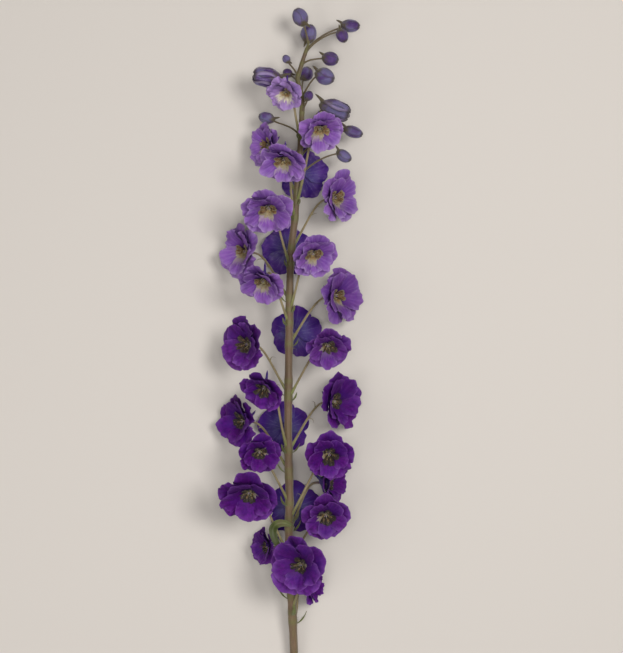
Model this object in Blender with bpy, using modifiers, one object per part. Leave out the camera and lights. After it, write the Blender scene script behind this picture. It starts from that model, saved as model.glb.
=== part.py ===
# A cut delphinium spike lying on its florets, cut end toward -Y and tip toward +Y.
# Metres, +Z up. The tables below are in millimetres and degrees.
import math
import random

import bmesh
import bpy
import numpy as np
from mathutils import Matrix, Vector

MM = 0.001
SEED = 4
MERGE = 0.0000002
ALONG = Vector((0.0, 1.0, 0.0))
UP = Vector((0.0, 0.0, 1.0))

# Stem: x, y, z and radius along its middle, from the cut end to the tip.
STEM_ROUTE = [
    (4.6, 0.0, 3.9, 3.5),
    (3.9, 30.0, 7.8, 3.5),
    (3.0, 60.0, 12.0, 3.5),
    (1.4, 100.0, 18.5, 3.45),
    (-1.3, 139.0, 25.0, 3.4),
    (-0.5, 190.0, 31.5, 3.35),
    (-1.7, 245.0, 35.5, 3.3),
    (-1.4, 279.0, 37.0, 3.25),
    (-0.9, 320.0, 38.0, 3.2),
    (-0.2, 369.0, 38.5, 3.1),
    (0.4, 394.0, 38.5, 3.0),
    (2.3, 414.5, 38.2, 2.9),
    (4.3, 430.5, 37.8, 2.8),
    (6.0, 455.0, 37.0, 2.65),
    (8.8, 492.0, 35.0, 2.35),
    (10.0, 517.0, 33.0, 2.1),
    (10.8, 533.5, 31.6, 1.95),
    (7.7, 543.5, 31.0, 1.85),
    (6.2, 550.5, 30.5, 1.8),
    (11.6, 568.0, 29.0, 1.6),
    (16.7, 582.7, 28.0, 1.4),
]

# Open florets: azimuth round the stem from straight up toward +X, place along the stem,
# reach from the stem's middle to the floret's mouth, width, rise of the stalk along the stem,
# the way that it faces, as an azimuth too, and how far it nods toward the cut end.
FLORETS = [
    (-40.0, 534.0, 24.0, 34.5, 34.0, -24.0, 42.0),
    (36.0, 501.0, 30.0, 42.0, 58.0, 18.0, 42.0),
    (-25.0, 474.0, 32.0, 44.0, 44.0, -20.0, 46.0),
    (-42.0, 433.0, 34.0, 48.0, 43.0, -8.0, 41.0),
    (35.0, 396.0, 36.0, 42.5, 45.0, 22.0, 29.0),
    (-41.5, 372.0, 36.0, 44.0, 32.0, -26.0, 45.0),
    (53.5, 318.5, 42.0, 40.0, 43.0, 8.0, 36.0),
    (-36.0, 282.7, 38.0, 41.5, 52.0, -30.0, 36.0),
    (53.0, 227.5, 44.0, 45.0, 56.0, 4.0, 22.0),
    (-44.0, 229.4, 34.0, 39.0, 44.0, 10.0, 27.0),
    (-48.5, 192.0, 46.0, 55.0, 51.0, -6.0, 38.0),
    (9.6, 135.7, 42.0, 55.0, 46.0, -26.0, 8.0),
    (52.5, 175.0, 40.0, 44.0, 42.0, 6.0, 24.0),
    (98.0, 448.0, 38.0, 47.0, 44.0, 49.0, 0.0),
    (100.0, 364.0, 46.0, 52.0, 42.0, 50.0, 0.0),
    (101.0, 273.0, 46.0, 52.0, 42.0, 51.0, 0.0),
    (112.0, 203.0, 42.0, 50.0, 40.0, 66.0, 0.0),
    (96.0, 112.0, 20.0, 32.0, 30.0, 62.0, 0.0),
    (-98.0, 493.0, 32.0, 40.0, 42.0, -49.0, 0.0),
    (-100.0, 402.0, 46.0, 50.0, 42.0, -50.0, 0.0),
    (-80.0, 322.0, 41.0, 50.0, 42.0, -41.0, 2.0),
    (-102.0, 256.0, 46.0, 50.0, 42.0, -53.0, 0.0),
    (-90.0, 148.0, 22.0, 34.0, 44.0, -58.0, 0.0),
    (173.0, 470.0, 34.7, 45.0, 42.0, 173.0, 0.0),
    (-172.0, 404.0, 36.9, 47.0, 42.0, -172.0, 0.0),
    (171.0, 332.0, 36.6, 47.0, 42.0, 171.0, 0.0),
    (-173.0, 250.0, 34.1, 47.0, 42.0, -173.0, 0.0),
    (174.0, 180.0, 28.5, 47.0, 42.0, 174.0, 0.0),
]

# Buds: middle x, y and height over the stem's middle, length, width, heading of the nose from +X,
# the stalk's place along the stem, and the depth of the pleats of one that is opening.
BUDS = [
    (8.8, 602.5, 3.0, 17.0, 12.0, 118.0, 580.0, 0.0),
    (16.0, 590.0, -8.0, 17.0, 12.5, 80.0, 578.0, 0.0),
    (51.5, 595.5, 2.0, 17.0, 10.0, -5.0, 574.0, 0.0),
    (44.5, 586.0, 9.0, 13.0, 9.0, -60.0, 573.0, 0.0),
    (34.4, 567.0, 2.0, 15.0, 11.0, -15.0, 562.0, 0.0),
    (29.5, 551.0, 8.0, 18.0, 13.0, -25.0, 534.0, 0.0),
    (13.5, 556.0, -14.0, 13.0, 11.0, 60.0, 536.0, 0.0),
    (-18.9, 550.0, 8.0, 26.0, 14.0, 172.0, 524.0, 0.12),
    (16.0, 534.0, 9.0, 9.0, 7.0, 70.0, 519.0, 0.0),
    (-20.0, 517.0, -9.0, 15.0, 9.0, 165.0, 500.0, 0.0),
    (38.0, 523.0, 3.0, 28.0, 14.5, -22.0, 497.0, 0.12),
    (-3.0, 566.0, 6.0, 8.0, 6.0, 125.0, 552.0, 0.0),
    (-2.0, 556.0, -9.0, 9.0, 7.0, 150.0, 546.0, 0.0),
    (54.0, 505.0, -8.0, 18.0, 9.0, -20.0, 482.0, 0.0),
    (46.0, 484.0, -6.0, 15.0, 9.0, -35.0, 464.0, 0.0),
]

# Petals in two whorls. Reach and half width are shares of the floret's radius, slopes are those
# at the root and the tip, a root is its radius and height, and the twist lays edge over edge.
PETAL_THICKNESS = 0.65
OUTER_PETALS = 5
INNER_PETALS = 5
INNER_REACH = 0.62
OUTER_SLOPES = (54.0, 2.0)
INNER_SLOPES = (60.0, 20.0)
OUTER_ROOT = (2.2, 0.4)
INNER_ROOT = (0.9, 2.2)
PETAL_HALF_WIDTHS = (0.395, 0.33)
PETAL_TWIST = 11.0
PETAL_ROUNDING = 0.8
ROLL_SPREAD = 8.0
TURN_SPREAD = 3.0
SLOPE_SPREAD = 3.0
SIZE_RANGE = (0.94, 1.0)
WIDTH_RANGE = (0.94, 1.04)

# Receptacle and spur behind the petals, placed in the floret's own frame.
CORE_SIDES = 5
CORE_RADII = (2.0, 4.4)
CORE_SPAN = (-1.5, 3.0)
SPUR_SIDES = 4
SPUR_RADII = (2.1, 0.6)
SPUR_LENGTH = 14.0
SPUR_TILT = 40.0
SPUR_ROOT = (0.0, 1.5, 0.6)

# Eye: the radius and height of each ring of its profile, from its foot to its crown.
EYE_SIDES = 10
EYE_GAP = 0.35
EYE_RINGS = [(0.0, 0.0), (1.1, 0.0), (3.9, 5.1), (0.0, 3.2)]
EYE_RIM = 2
EYE_NOTCH = 0.22
EYE_FULL_WIDTH = 44.0

# Stalks, bracts and buds. Shares are of a bud's length or width, or of its stalk's span.
STALK_RADIUS = 0.85
STALK_SEGMENTS = 4
STALK_ANGLE = 34.0
STALK_GAP = 0.3
STALK_STRAIGHT = 2.0
STALK_SIDE = -1.0
STALK_PULLS = (0.4, 0.25)
STALK_FLARE = 1.25
BRACT_ALONG = (90.0, 500.0)
BRACT_LENGTHS = (15.0, 6.0)
BRACT_WIDTHS = (3.2, 2.2)
BRACT_THICKNESS = 0.7
BRACT_DROP = 2.0
BRACT_SINK = 1.0
BRACT_ANGLES = (58.0, 22.0)
LOOSE_BRACT_Y = 164.0
LOOSE_BRACT_AZIMUTH = 38.0
LOOSE_BRACT_WIDTH = 5.3
LOOSE_BRACT_BEND = (-5.0, 2.0, 6.5)
LOOSE_BRACT_TIP = (-24.0, 6.0, 4.0)
BUD_SIDES = 8
OPENING_BUD_SIDES = 10
BUD_RINGS = 4
BUD_NOSE_LIFT = 0.12
BUD_TAPER = 0.18
BUD_TAIL = 0.3
BUD_SEAT = 0.22
BUD_SPUR_LENGTH = 0.62
BUD_SPUR_TILT = 24.0
BUD_SPUR_LIFT = 0.4
BUD_SPUR_SHARE = 0.16
BUD_SPUR_TIP = 0.5
BUD_STALK_PULL = 0.2
BUD_STALK_SHARE = 0.9


def clear_scene():
    for obj in list(bpy.data.objects):
        bpy.data.objects.remove(obj, do_unlink=True)


def make_material(name, colour, roughness):
    material = bpy.data.materials.new(name)
    material.use_nodes = True
    shader = material.node_tree.nodes["Principled BSDF"]
    shader.inputs["Base Color"].default_value = (*colour, 1.0)
    shader.inputs["Roughness"].default_value = roughness
    shader.inputs["Metallic"].default_value = 0.0
    return material


def stem_at(y):
    route = np.array(STEM_ROUTE)
    x = np.interp(y, route[:, 1], route[:, 0])
    z = np.interp(y, route[:, 1], route[:, 2])
    return Vector((x, y, z))


def stem_radius(y):
    route = np.array(STEM_ROUTE)
    return float(np.interp(y, route[:, 1], route[:, 3]))


def polar(azimuth):
    angle = math.radians(azimuth)
    return Vector((math.sin(angle), 0.0, math.cos(angle)))


def add_object(name, mesh):
    obj = bpy.data.objects.new(name, mesh)
    bpy.context.scene.collection.objects.link(obj)
    return obj


def mesh_from(bm, name):
    # Work so far is in millimetres; the mesh is in metres.
    bmesh.ops.scale(bm, vec=(MM, MM, MM), verts=bm.verts[:])
    bmesh.ops.remove_doubles(bm, verts=bm.verts[:], dist=MERGE)
    mesh = bpy.data.meshes.new(name)
    bm.to_mesh(mesh)
    bm.free()
    return mesh


def settled(obj):
    # The object's evaluated mesh becomes a plain one, with its doubles merged.
    graph = bpy.context.evaluated_depsgraph_get()
    mesh = bpy.data.meshes.new_from_object(obj.evaluated_get(graph))
    bm = bmesh.new()
    bm.from_mesh(mesh)
    bmesh.ops.remove_doubles(bm, verts=bm.verts[:], dist=MERGE)
    bm.to_mesh(mesh)
    bm.free()
    result = add_object(obj.name + "_solid", mesh)
    result.matrix_world = obj.matrix_world
    bpy.data.objects.remove(obj, do_unlink=True)
    return result


def blade(name, rows, thickness, shape):
    # shape(s, u) gives the middle surface: s from root to tip, u from side to side.
    bm = bmesh.new()
    bmesh.ops.create_grid(bm, x_segments=1, y_segments=rows, size=1.0)
    bmesh.ops.triangulate(bm, faces=bm.faces[:])
    for vert in bm.verts:
        vert.co = shape((vert.co.y + 1.0) / 2.0, vert.co.x)
    obj = add_object(name, mesh_from(bm, name))
    wall = obj.modifiers.new("Wall", "SOLIDIFY")
    wall.thickness = thickness * MM
    wall.offset = 0.0
    return settled(obj)


def cone(name, sides, radii, start, end):
    axis = end - start
    turn = axis.to_track_quat("Z", "Y").to_matrix().to_4x4()
    bm = bmesh.new()
    bmesh.ops.create_cone(
        bm,
        cap_ends=True,
        segments=sides,
        radius1=radii[0],
        radius2=radii[1],
        depth=axis.length,
        matrix=Matrix.Translation((start + end) / 2.0) @ turn,
    )
    return add_object(name, mesh_from(bm, name))


def tube(name, points, radii, resolution):
    curve = bpy.data.curves.new(name, "CURVE")
    curve.dimensions = "3D"
    curve.bevel_depth = MM
    curve.bevel_resolution = resolution
    curve.use_fill_caps = True
    spline = curve.splines.new("POLY")
    spline.points.add(len(points) - 1)
    for knot, point, radius in zip(spline.points, points, radii):
        knot.co = (*(point * MM), 1.0)
        knot.radius = radius
    return settled(add_object(name, curve))


def bezier(a, b, c, d, t):
    return a * (1 - t) ** 3 + b * 3 * t * (1 - t) ** 2 + c * 3 * t * t * (1 - t) + d * t ** 3


def fuse(name, pieces, material):
    # One union joins the first piece with a collection of all the others.
    others = bpy.data.collections.new(name + "_pieces")
    bpy.context.scene.collection.children.link(others)
    for piece in pieces[1:]:
        others.objects.link(piece)
    union = pieces[0].modifiers.new("Union", "BOOLEAN")
    union.operation = "UNION"
    union.operand_type = "COLLECTION"
    union.collection = others
    union.solver = "EXACT"
    result = settled(pieces[0])
    split_faces(result.data)
    for piece in pieces[1:]:
        bpy.data.objects.remove(piece, do_unlink=True)
    bpy.data.collections.remove(others)
    return finish(name, result, material)


def split_faces(mesh):
    bm = bmesh.new()
    bm.from_mesh(mesh)
    bmesh.ops.triangulate(bm, faces=bm.faces[:], quad_method="BEAUTY", ngon_method="BEAUTY")
    bm.to_mesh(mesh)
    bm.free()


def finish(name, obj, material):
    obj.name = name
    obj.data.name = name
    obj.data.materials.clear()
    obj.data.materials.append(material)
    return obj


def petal_arc(root, slopes, end_radius, s):
    # An arc of steady curvature in the radius and height plane, from root out to end_radius.
    first, last = (math.radians(slope) for slope in slopes)
    bend = last - first
    length = (end_radius - root[0]) * bend / (math.sin(last) - math.sin(first))
    slope = first + bend * s
    radius = root[0] + length * (math.sin(slope) - math.sin(first)) / bend
    height = root[1] - length * (math.cos(slope) - math.cos(first)) / bend
    return radius, height


def floret_depth(width):
    return petal_arc(OUTER_ROOT, OUTER_SLOPES, width / 2.0, 1.0)[1]


def floret_matrix(row):
    # Origin at the receptacle, +Z the way that the floret faces, +Y toward the upper sepal.
    azimuth, y, reach, width, rise, facing, nod = row
    lean = math.radians(nod)
    face = polar(facing) * math.cos(lean) - ALONG * math.sin(lean)
    up = (ALONG - face * face.dot(ALONG)).normalized()
    side = up.cross(face)
    origin = stem_at(y) + polar(azimuth) * reach - face * floret_depth(width)
    turn = Matrix((side, up, face)).transposed().to_4x4()
    return Matrix.Translation(origin) @ turn


def petal(name, place, angle, root, slopes, end_radius, half_width, rows):
    turn = math.radians(angle)
    outward = Vector((math.sin(turn), math.cos(turn), 0.0))
    across = Vector((math.cos(turn), -math.sin(turn), 0.0))
    twist = math.tan(math.radians(PETAL_TWIST))

    def shape(s, u):
        s = s ** PETAL_ROUNDING
        radius, height = petal_arc(root, slopes, end_radius, s)
        offset = u * half_width * math.sqrt(max(0.0, math.sin(math.pi * s)))
        height += offset * twist
        point = place @ (outward * radius + across * offset + Vector((0.0, 0.0, height)))
        # A petal under the spike is pressed flat on the surface.
        point.z = max(point.z, PETAL_THICKNESS / 2.0)
        return point

    return blade(name, rows, PETAL_THICKNESS, shape)


def whorl(name, place, draw, count, turn, root, slopes, end_radius, width_share, rows):
    petals = []
    for index in range(count):
        angle = turn + 360.0 * index / count + draw.uniform(-TURN_SPREAD, TURN_SPREAD)
        tilted = (slopes[0], slopes[1] + draw.uniform(-SLOPE_SPREAD, SLOPE_SPREAD))
        size = end_radius * draw.uniform(*SIZE_RANGE)
        width = end_radius * width_share * draw.uniform(*WIDTH_RANGE)
        petals.append(petal(f"{name}_{index}", place, angle, root, tilted, size, width, rows))
    return petals


def make_floret(number, row, material, draw):
    name = f"floret_{number:02d}"
    place = floret_matrix(row)
    radius = row[3] / 2.0
    roll = draw.uniform(-ROLL_SPREAD, ROLL_SPREAD)
    between = roll + 180.0 / OUTER_PETALS
    bottom, top = (place @ Vector((0.0, 0.0, height)) for height in CORE_SPAN)
    core = cone(name, CORE_SIDES, CORE_RADII, bottom, top)
    tilt = math.radians(SPUR_TILT)
    spur_root = Vector(SPUR_ROOT)
    spur_end = spur_root + Vector((0.0, math.sin(tilt), -math.cos(tilt))) * SPUR_LENGTH
    spur = cone(name + "_spur", SPUR_SIDES, SPUR_RADII, place @ spur_root, place @ spur_end)
    outer = whorl(
        name + "_outer", place, draw, OUTER_PETALS, roll, OUTER_ROOT, OUTER_SLOPES,
        radius, PETAL_HALF_WIDTHS[0], 3,
    )
    inner = whorl(
        name + "_inner", place, draw, INNER_PETALS, between, INNER_ROOT, INNER_SLOPES,
        radius * INNER_REACH, PETAL_HALF_WIDTHS[1], 2,
    )
    return fuse(name, [core, spur] + outer + inner, material)


def make_eye(number, row, material):
    # A small cup with five points, its rings moved from a sphere's onto the eye's profile.
    name = f"eye_{number:02d}"
    place = floret_matrix(row)
    foot = CORE_SPAN[1] + EYE_GAP
    scale = min(1.0, row[3] / EYE_FULL_WIDTH)
    bm = bmesh.new()
    last = len(EYE_RINGS) - 1
    bmesh.ops.create_uvsphere(bm, u_segments=EYE_SIDES, v_segments=last, radius=1.0)
    for vert in bm.verts:
        ring = round(math.acos(max(-1.0, min(1.0, -vert.co.z))) / math.pi * last)
        radius, height = EYE_RINGS[ring]
        turn = math.atan2(vert.co.y, vert.co.x)
        if ring == EYE_RIM:
            notch = 1.0 - EYE_NOTCH * (1.0 - math.cos(5.0 * turn)) / 2.0
            radius *= notch
            height *= notch
        local = Vector((math.cos(turn) * radius, math.sin(turn) * radius, height)) * scale
        vert.co = place @ (local + Vector((0.0, 0.0, foot)))
    return finish(name, add_object(name, mesh_from(bm, name)), material)


def floret_stalk(name, row):
    # It leaves the stem at an angle and comes up straight behind the floret, below the spur.
    azimuth, y, reach, width, rise, facing, nod = row
    place = floret_matrix(row)
    face = place.to_3x3() @ Vector((0.0, 0.0, 1.0))
    end = place @ Vector((0.0, STALK_SIDE, CORE_SPAN[0] - STALK_GAP))
    start = stem_at(y - rise)
    turn_end = end - face * STALK_STRAIGHT
    span = (turn_end - start).length
    angle = math.radians(STALK_ANGLE)
    leave = ALONG * math.cos(angle) + polar(azimuth) * math.sin(angle)
    near_start = start + leave * span * STALK_PULLS[0]
    near_end = turn_end - face * span * STALK_PULLS[1]
    points = stalk_points(start, near_start, near_end, turn_end) + [end]
    return stalk(name, points, STALK_RADIUS)


def stalk_points(start, near_start, near_end, end):
    steps = [index / STALK_SEGMENTS for index in range(STALK_SEGMENTS + 1)]
    return [bezier(start, near_start, near_end, end, t) for t in steps]


def stalk(name, points, radius):
    last = len(points) - 1
    radii = [radius * (STALK_FLARE + (1.0 - STALK_FLARE) * index / last) for index in range(last + 1)]
    return tube(name, points, radii, 1)


def leaf(name, root, bend, tip, across, half_width):
    # A narrow blade along a curve that leaves its root toward the bend and ends at the tip.
    def shape(s, u):
        middle = root * (1 - s) ** 2 + bend * 2 * s * (1 - s) + tip * s * s
        return middle + across * u * half_width * math.sqrt(math.sin(math.pi * s))

    return blade(name, 2, BRACT_THICKNESS, shape)


def bract(name, y, azimuth):
    # Under the stalk's foot, long low on the stem and short at the top.
    length = np.interp(y, BRACT_ALONG, BRACT_LENGTHS)
    half_width = np.interp(y, BRACT_ALONG, BRACT_WIDTHS) / 2.0
    out = polar(azimuth)
    root = stem_at(y - BRACT_DROP) + out * (stem_radius(y) - BRACT_SINK)
    steps = []
    for angle in BRACT_ANGLES:
        slope = math.radians(angle)
        steps.append((ALONG * math.cos(slope) + out * math.sin(slope)) * length / 2.0)
    return leaf(name, root, root + steps[0], root + steps[0] + steps[1], out.cross(ALONG), half_width)


def loose_bract(name):
    root = stem_at(LOOSE_BRACT_Y) + polar(LOOSE_BRACT_AZIMUTH) * (stem_radius(LOOSE_BRACT_Y) - BRACT_SINK)
    bend = root + Vector(LOOSE_BRACT_BEND)
    tip = root + Vector(LOOSE_BRACT_TIP)
    return leaf(name, root, bend, tip, ALONG, LOOSE_BRACT_WIDTH / 2.0)


def bud(name, row):
    # A tapered round body moved from a sphere, a spur behind it and a stalk that ends inside it.
    x, y, height, length, width, heading, foot, pleat = row
    turn = math.radians(heading)
    nose = Vector((math.cos(turn), math.sin(turn), BUD_NOSE_LIFT)).normalized()
    middle = Vector((x, y, stem_at(y).z + height))
    place = Matrix.Translation(middle) @ nose.to_track_quat("Z", "Y").to_matrix().to_4x4()
    sides = OPENING_BUD_SIDES if pleat else BUD_SIDES
    bm = bmesh.new()
    bmesh.ops.create_uvsphere(bm, u_segments=sides, v_segments=BUD_RINGS, radius=1.0)
    for vert in bm.verts:
        pleating = pleat * math.cos(5.0 * math.atan2(vert.co.y, vert.co.x))
        spread = width / 2.0 * (1.0 - BUD_TAPER * vert.co.z + pleating)
        vert.co = place @ Vector((vert.co.x * spread, vert.co.y * spread, vert.co.z * length / 2.0))
    body = add_object(name, mesh_from(bm, name))
    tail = middle - nose * length * BUD_TAIL
    tilt = math.radians(BUD_SPUR_TILT)
    lift = (ALONG - nose * nose.dot(ALONG) + UP * BUD_SPUR_LIFT).normalized()
    spur_end = tail + (lift * math.sin(tilt) - nose * math.cos(tilt)) * length * BUD_SPUR_LENGTH
    spur = cone(name + "_spur", SPUR_SIDES, (width * BUD_SPUR_SHARE, BUD_SPUR_TIP), tail, spur_end)
    start = stem_at(foot)
    end = middle - nose * length * BUD_SEAT
    span = (end - start).length
    near_start = start + (end - start) * 0.3 + ALONG * span * BUD_STALK_PULL
    near_end = end - nose * span * BUD_STALK_PULL - ALONG * span * BUD_STALK_PULL / 2.0
    points = stalk_points(start, near_start, near_end, end)
    return [body, spur, stalk(name + "_stalk", points, STALK_RADIUS * BUD_STALK_SHARE)]


def make_stem(material):
    route = [Vector(point[:3]) for point in STEM_ROUTE]
    pieces = [tube("stem", route, [point[3] for point in STEM_ROUTE], 2)]
    for index, row in enumerate(FLORETS):
        pieces.append(floret_stalk(f"stalk_{index}", row))
        pieces.append(bract(f"bract_{index}", row[1] - row[4], row[0]))
    pieces.append(loose_bract("loose_bract"))
    for index, row in enumerate(BUDS):
        pieces.extend(bud(f"bud_{index}", row))
    return fuse("stem", pieces, material)


def centre_on_origin(objects):
    # The origin lies under the middle of the whole spike, on the surface that it rests on.
    corners = [obj.matrix_world @ vert.co for obj in objects for vert in obj.data.vertices]
    low = Vector([min(corner[axis] for corner in corners) for axis in range(3)])
    high = Vector([max(corner[axis] for corner in corners) for axis in range(3)])
    for obj in objects:
        obj.location = (-(low.x + high.x) / 2.0, -(low.y + high.y) / 2.0, -low.z)


def main():
    clear_scene()
    draw = random.Random(SEED)
    green = make_material("stem_green", (0.20, 0.15, 0.07), 0.6)
    violet = make_material("petal_violet", (0.10, 0.02, 0.22), 0.55)
    cream = make_material("eye_cream", (0.45, 0.38, 0.26), 0.6)
    spike = bpy.data.collections.new("delphinium_spike")
    bpy.context.scene.collection.children.link(spike)
    parts = [make_stem(green)]
    for number, row in enumerate(FLORETS, start=1):
        parts.append(make_floret(number, row, violet, draw))
        parts.append(make_eye(number, row, cream))
    for part in parts:
        bpy.context.scene.collection.objects.unlink(part)
        spike.objects.link(part)
    centre_on_origin(parts)


main()
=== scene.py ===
import math
import random
from collections import namedtuple

import bpy
import numpy as np
from mathutils import Matrix, Vector


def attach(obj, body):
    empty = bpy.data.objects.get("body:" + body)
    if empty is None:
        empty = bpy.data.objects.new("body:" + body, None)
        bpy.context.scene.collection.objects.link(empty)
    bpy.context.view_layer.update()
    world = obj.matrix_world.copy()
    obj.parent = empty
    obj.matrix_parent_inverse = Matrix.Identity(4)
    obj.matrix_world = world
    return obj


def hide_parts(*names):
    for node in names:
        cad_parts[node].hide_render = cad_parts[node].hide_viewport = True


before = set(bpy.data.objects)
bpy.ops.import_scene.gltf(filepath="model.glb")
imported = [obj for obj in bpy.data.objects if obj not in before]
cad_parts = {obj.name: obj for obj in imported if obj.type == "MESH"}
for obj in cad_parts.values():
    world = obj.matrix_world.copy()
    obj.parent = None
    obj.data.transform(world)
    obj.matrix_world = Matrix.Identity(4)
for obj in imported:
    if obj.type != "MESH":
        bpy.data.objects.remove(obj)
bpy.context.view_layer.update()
print("frame loaded:", len(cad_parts), "nodes")

# Lengths below are millimetres and angles degrees, in the spike's own tables.
mm = 0.001
shift = np.array((-0.710, -304.75, 0.0))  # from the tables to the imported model
east = Vector((1.0, 0.0, 0.0))
along = Vector((0.0, 1.0, 0.0))
up = Vector((0.0, 0.0, 1.0))
full = 2.0 * math.pi

# Middle of the stem: x, y, z and radius, cut end first.
stemRoute = np.array([
    (4.6, 0, 3.9, 3.5), (3.9, 30, 7.8, 3.5), (3, 60, 12, 3.5), (1.4, 100, 18.5, 3.45),
    (-1.3, 139, 25, 3.4), (-0.5, 190, 31.5, 3.35), (-1.7, 245, 35.5, 3.3), (-1.4, 279, 37, 3.25),
    (-0.9, 320, 38, 3.2), (-0.2, 369, 38.5, 3.1), (0.4, 394, 38.5, 3), (2.3, 414.5, 38.2, 2.9),
    (4.3, 430.5, 37.8, 2.8), (6, 455, 37, 2.65), (8.8, 492, 35, 2.35), (10, 517, 33, 2.1),
    (10.8, 533.5, 31.6, 1.95), (7.7, 543.5, 31, 1.85), (6.2, 550.5, 30.5, 1.8), (11.6, 568, 29, 1.6),
    (16.7, 582.7, 28, 1.4),
])

# Open florets: azimuth from straight up toward +X, y along the stem, the rise of the stalk, facing as
# an azimuth too, and nod toward the cut end.
floretRow = namedtuple("floretRow", "azimuth y reach width rise facing nod")
floretRows = [floretRow(*row) for row in (
    (-40, 534, 24, 34.5, 34, -24, 42), (36, 501, 30, 42, 58, 18, 42), (-25, 474, 32, 44, 44, -20, 46),
    (-42, 433, 34, 48, 43, -8, 41), (35, 396, 36, 42.5, 45, 22, 29), (-41.5, 372, 36, 44, 32, -26, 45),
    (53.5, 318.5, 42, 40, 43, 8, 36), (-36, 282.7, 38, 41.5, 52, -30, 36), (53, 227.5, 44, 45, 56, 4, 22),
    (-44, 229.4, 34, 39, 44, 10, 27), (-48.5, 192, 46, 55, 51, -6, 38), (9.6, 135.7, 42, 55, 46, -26, 8),
    (52.5, 175, 40, 44, 42, 6, 24), (98, 448, 38, 47, 44, 49, 0), (100, 364, 46, 52, 42, 50, 0),
    (101, 273, 46, 52, 42, 51, 0), (112, 203, 42, 50, 40, 66, 0), (96, 112, 20, 32, 30, 62, 0),
    (-98, 493, 32, 40, 42, -49, 0), (-100, 402, 46, 50, 42, -50, 0), (-80, 322, 41, 50, 42, -41, 2),
    (-102, 256, 46, 50, 42, -53, 0), (-90, 148, 22, 34, 44, -58, 0), (173, 470, 34.7, 45, 42, 173, 0),
    (-172, 404, 36.9, 47, 42, -172, 0), (171, 332, 36.6, 47, 42, 171, 0),
    (-173, 250, 34.1, 47, 42, -173, 0), (174, 180, 28.5, 47, 42, 174, 0),
)]

# Buds: where the middle is, the height over the stem, and the y of the stalk's foot.
budRow = namedtuple("budRow", "x y height length width heading foot pleat")
budRows = [budRow(*row) for row in (
    (8.8, 602.5, 3, 17, 12, 118, 580, 0), (16, 590, -8, 17, 12.5, 80, 578, 0),
    (51.5, 595.5, 2, 17, 10, -5, 574, 0), (44.5, 586, 9, 13, 9, -60, 573, 0),
    (34.4, 567, 2, 15, 11, -15, 562, 0), (29.5, 551, 8, 18, 13, -25, 534, 0),
    (13.5, 556, -14, 13, 11, 60, 536, 0), (-18.9, 550, 8, 26, 14, 172, 524, 0.12),
    (16, 534, 9, 9, 7, 70, 519, 0), (-20, 517, -9, 15, 9, 165, 500, 0),
    (38, 523, 3, 28, 14.5, -22, 497, 0.12), (-3, 566, 6, 8, 6, 125, 552, 0),
    (-2, 556, -9, 9, 7, 150, 546, 0), (54, 505, -8, 18, 9, -20, 482, 0), (46, 484, -6, 15, 9, -35, 464, 0),
)]

floretNames = [f"floret_{number:02d}" for number in range(1, len(floretRows) + 1)]
eyeNames = [f"eye_{number:02d}" for number in range(1, len(floretRows) + 1)]

# How deep the violet is along the spike: 0 the lavender of the top, 1 the purple below.
toneAlong = ((270.0, 325.0, 372.0, 480.0, 560.0), (1.0, 0.88, 0.34, 0.12, 0.0))
youngAlong = (505.0, 532.0)  # where the palest, newest florets begin


# Places shared by all the pieces

def alongStem(y, column):
    return float(np.interp(y, stemRoute[:, 1], stemRoute[:, column]))


def stemAt(y):
    return Vector((alongStem(y, 0), y, alongStem(y, 2)))


def stemRadius(y):
    return alongStem(y, 3)


def toneAt(y):
    return float(np.interp(y, *toneAlong))


def youngAt(y):
    return float(smooth(y, *youngAlong))


def polar(azimuth):
    angle = math.radians(azimuth)
    return Vector((math.sin(angle), 0.0, math.cos(angle)))


def smooth(value, low, high):
    share = np.clip((value - low) / (high - low), 0.0, 1.0)
    return share * share * (3.0 - 2.0 * share)


def spread(draw, size):
    return draw.uniform(-size, size)


def petalArc(root, slopes, reach, s):
    # radius and height along an arc of steady curvature, from the root out to reach
    first, last = (math.radians(slope) for slope in slopes)
    bend = last - first
    length = (reach - root[0]) * bend / (math.sin(last) - math.sin(first))
    slope = first + bend * s
    radius = root[0] + length * (np.sin(slope) - math.sin(first)) / bend
    height = root[1] - length * (np.cos(slope) - math.cos(first)) / bend
    return radius, height


def bezier(a, b, c, d, t):
    return a * (1 - t) ** 3 + b * 3 * t * (1 - t) ** 2 + c * 3 * t * t * (1 - t) + d * t ** 3


# Meshes: a store collects the parts of one piece, and becomes one mesh

def newStore():
    return {"points": [], "faces": [], "uv": [], "marks": {}, "count": 0}


def addPart(store, points, faces, uv, **marks):
    # marks are attributes, one number for the whole part or one for each point
    store["points"].append(points)
    store["faces"].extend([tuple(corner + store["count"] for corner in face) for face in faces])
    store["uv"].append(uv)
    for label, value in marks.items():
        values = np.full(len(points), value) if np.isscalar(value) else value
        store["marks"].setdefault(label, []).append(values)
    store["count"] += len(points)


def meshFrom(name, store):
    points = (np.concatenate(store["points"]) + shift) * mm
    mesh = bpy.data.meshes.new(name)
    mesh.from_pydata(points.tolist(), [], store["faces"])
    corners = np.zeros(len(mesh.loops), dtype=np.int32)
    mesh.loops.foreach_get("vertex_index", corners)
    layer = mesh.uv_layers.new(name="petal")
    layer.data.foreach_set("uv", np.concatenate(store["uv"])[corners].astype(np.float32).ravel())
    for label, values in store["marks"].items():
        attribute = mesh.attributes.new(label, "FLOAT", "POINT")
        attribute.data.foreach_set("value", np.concatenate(values).astype(np.float32))
    mesh.shade_smooth()
    return mesh


def addPiece(name, mesh, slot, nodes, *materials):
    piece = bpy.data.objects.new(name, mesh)
    bpy.context.scene.collection.objects.link(piece)
    for material in materials:
        mesh.materials.append(material)
    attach(piece, "root")
    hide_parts(*nodes)
    return piece


def ringFaces(rings, sides):
    faces = []
    for ring in range(rings - 1):
        for side in range(sides):
            first, second = ring * sides + side, ring * sides + (side + 1) % sides
            faces.append((first, second, second + sides, first + sides))
    return faces


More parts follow.
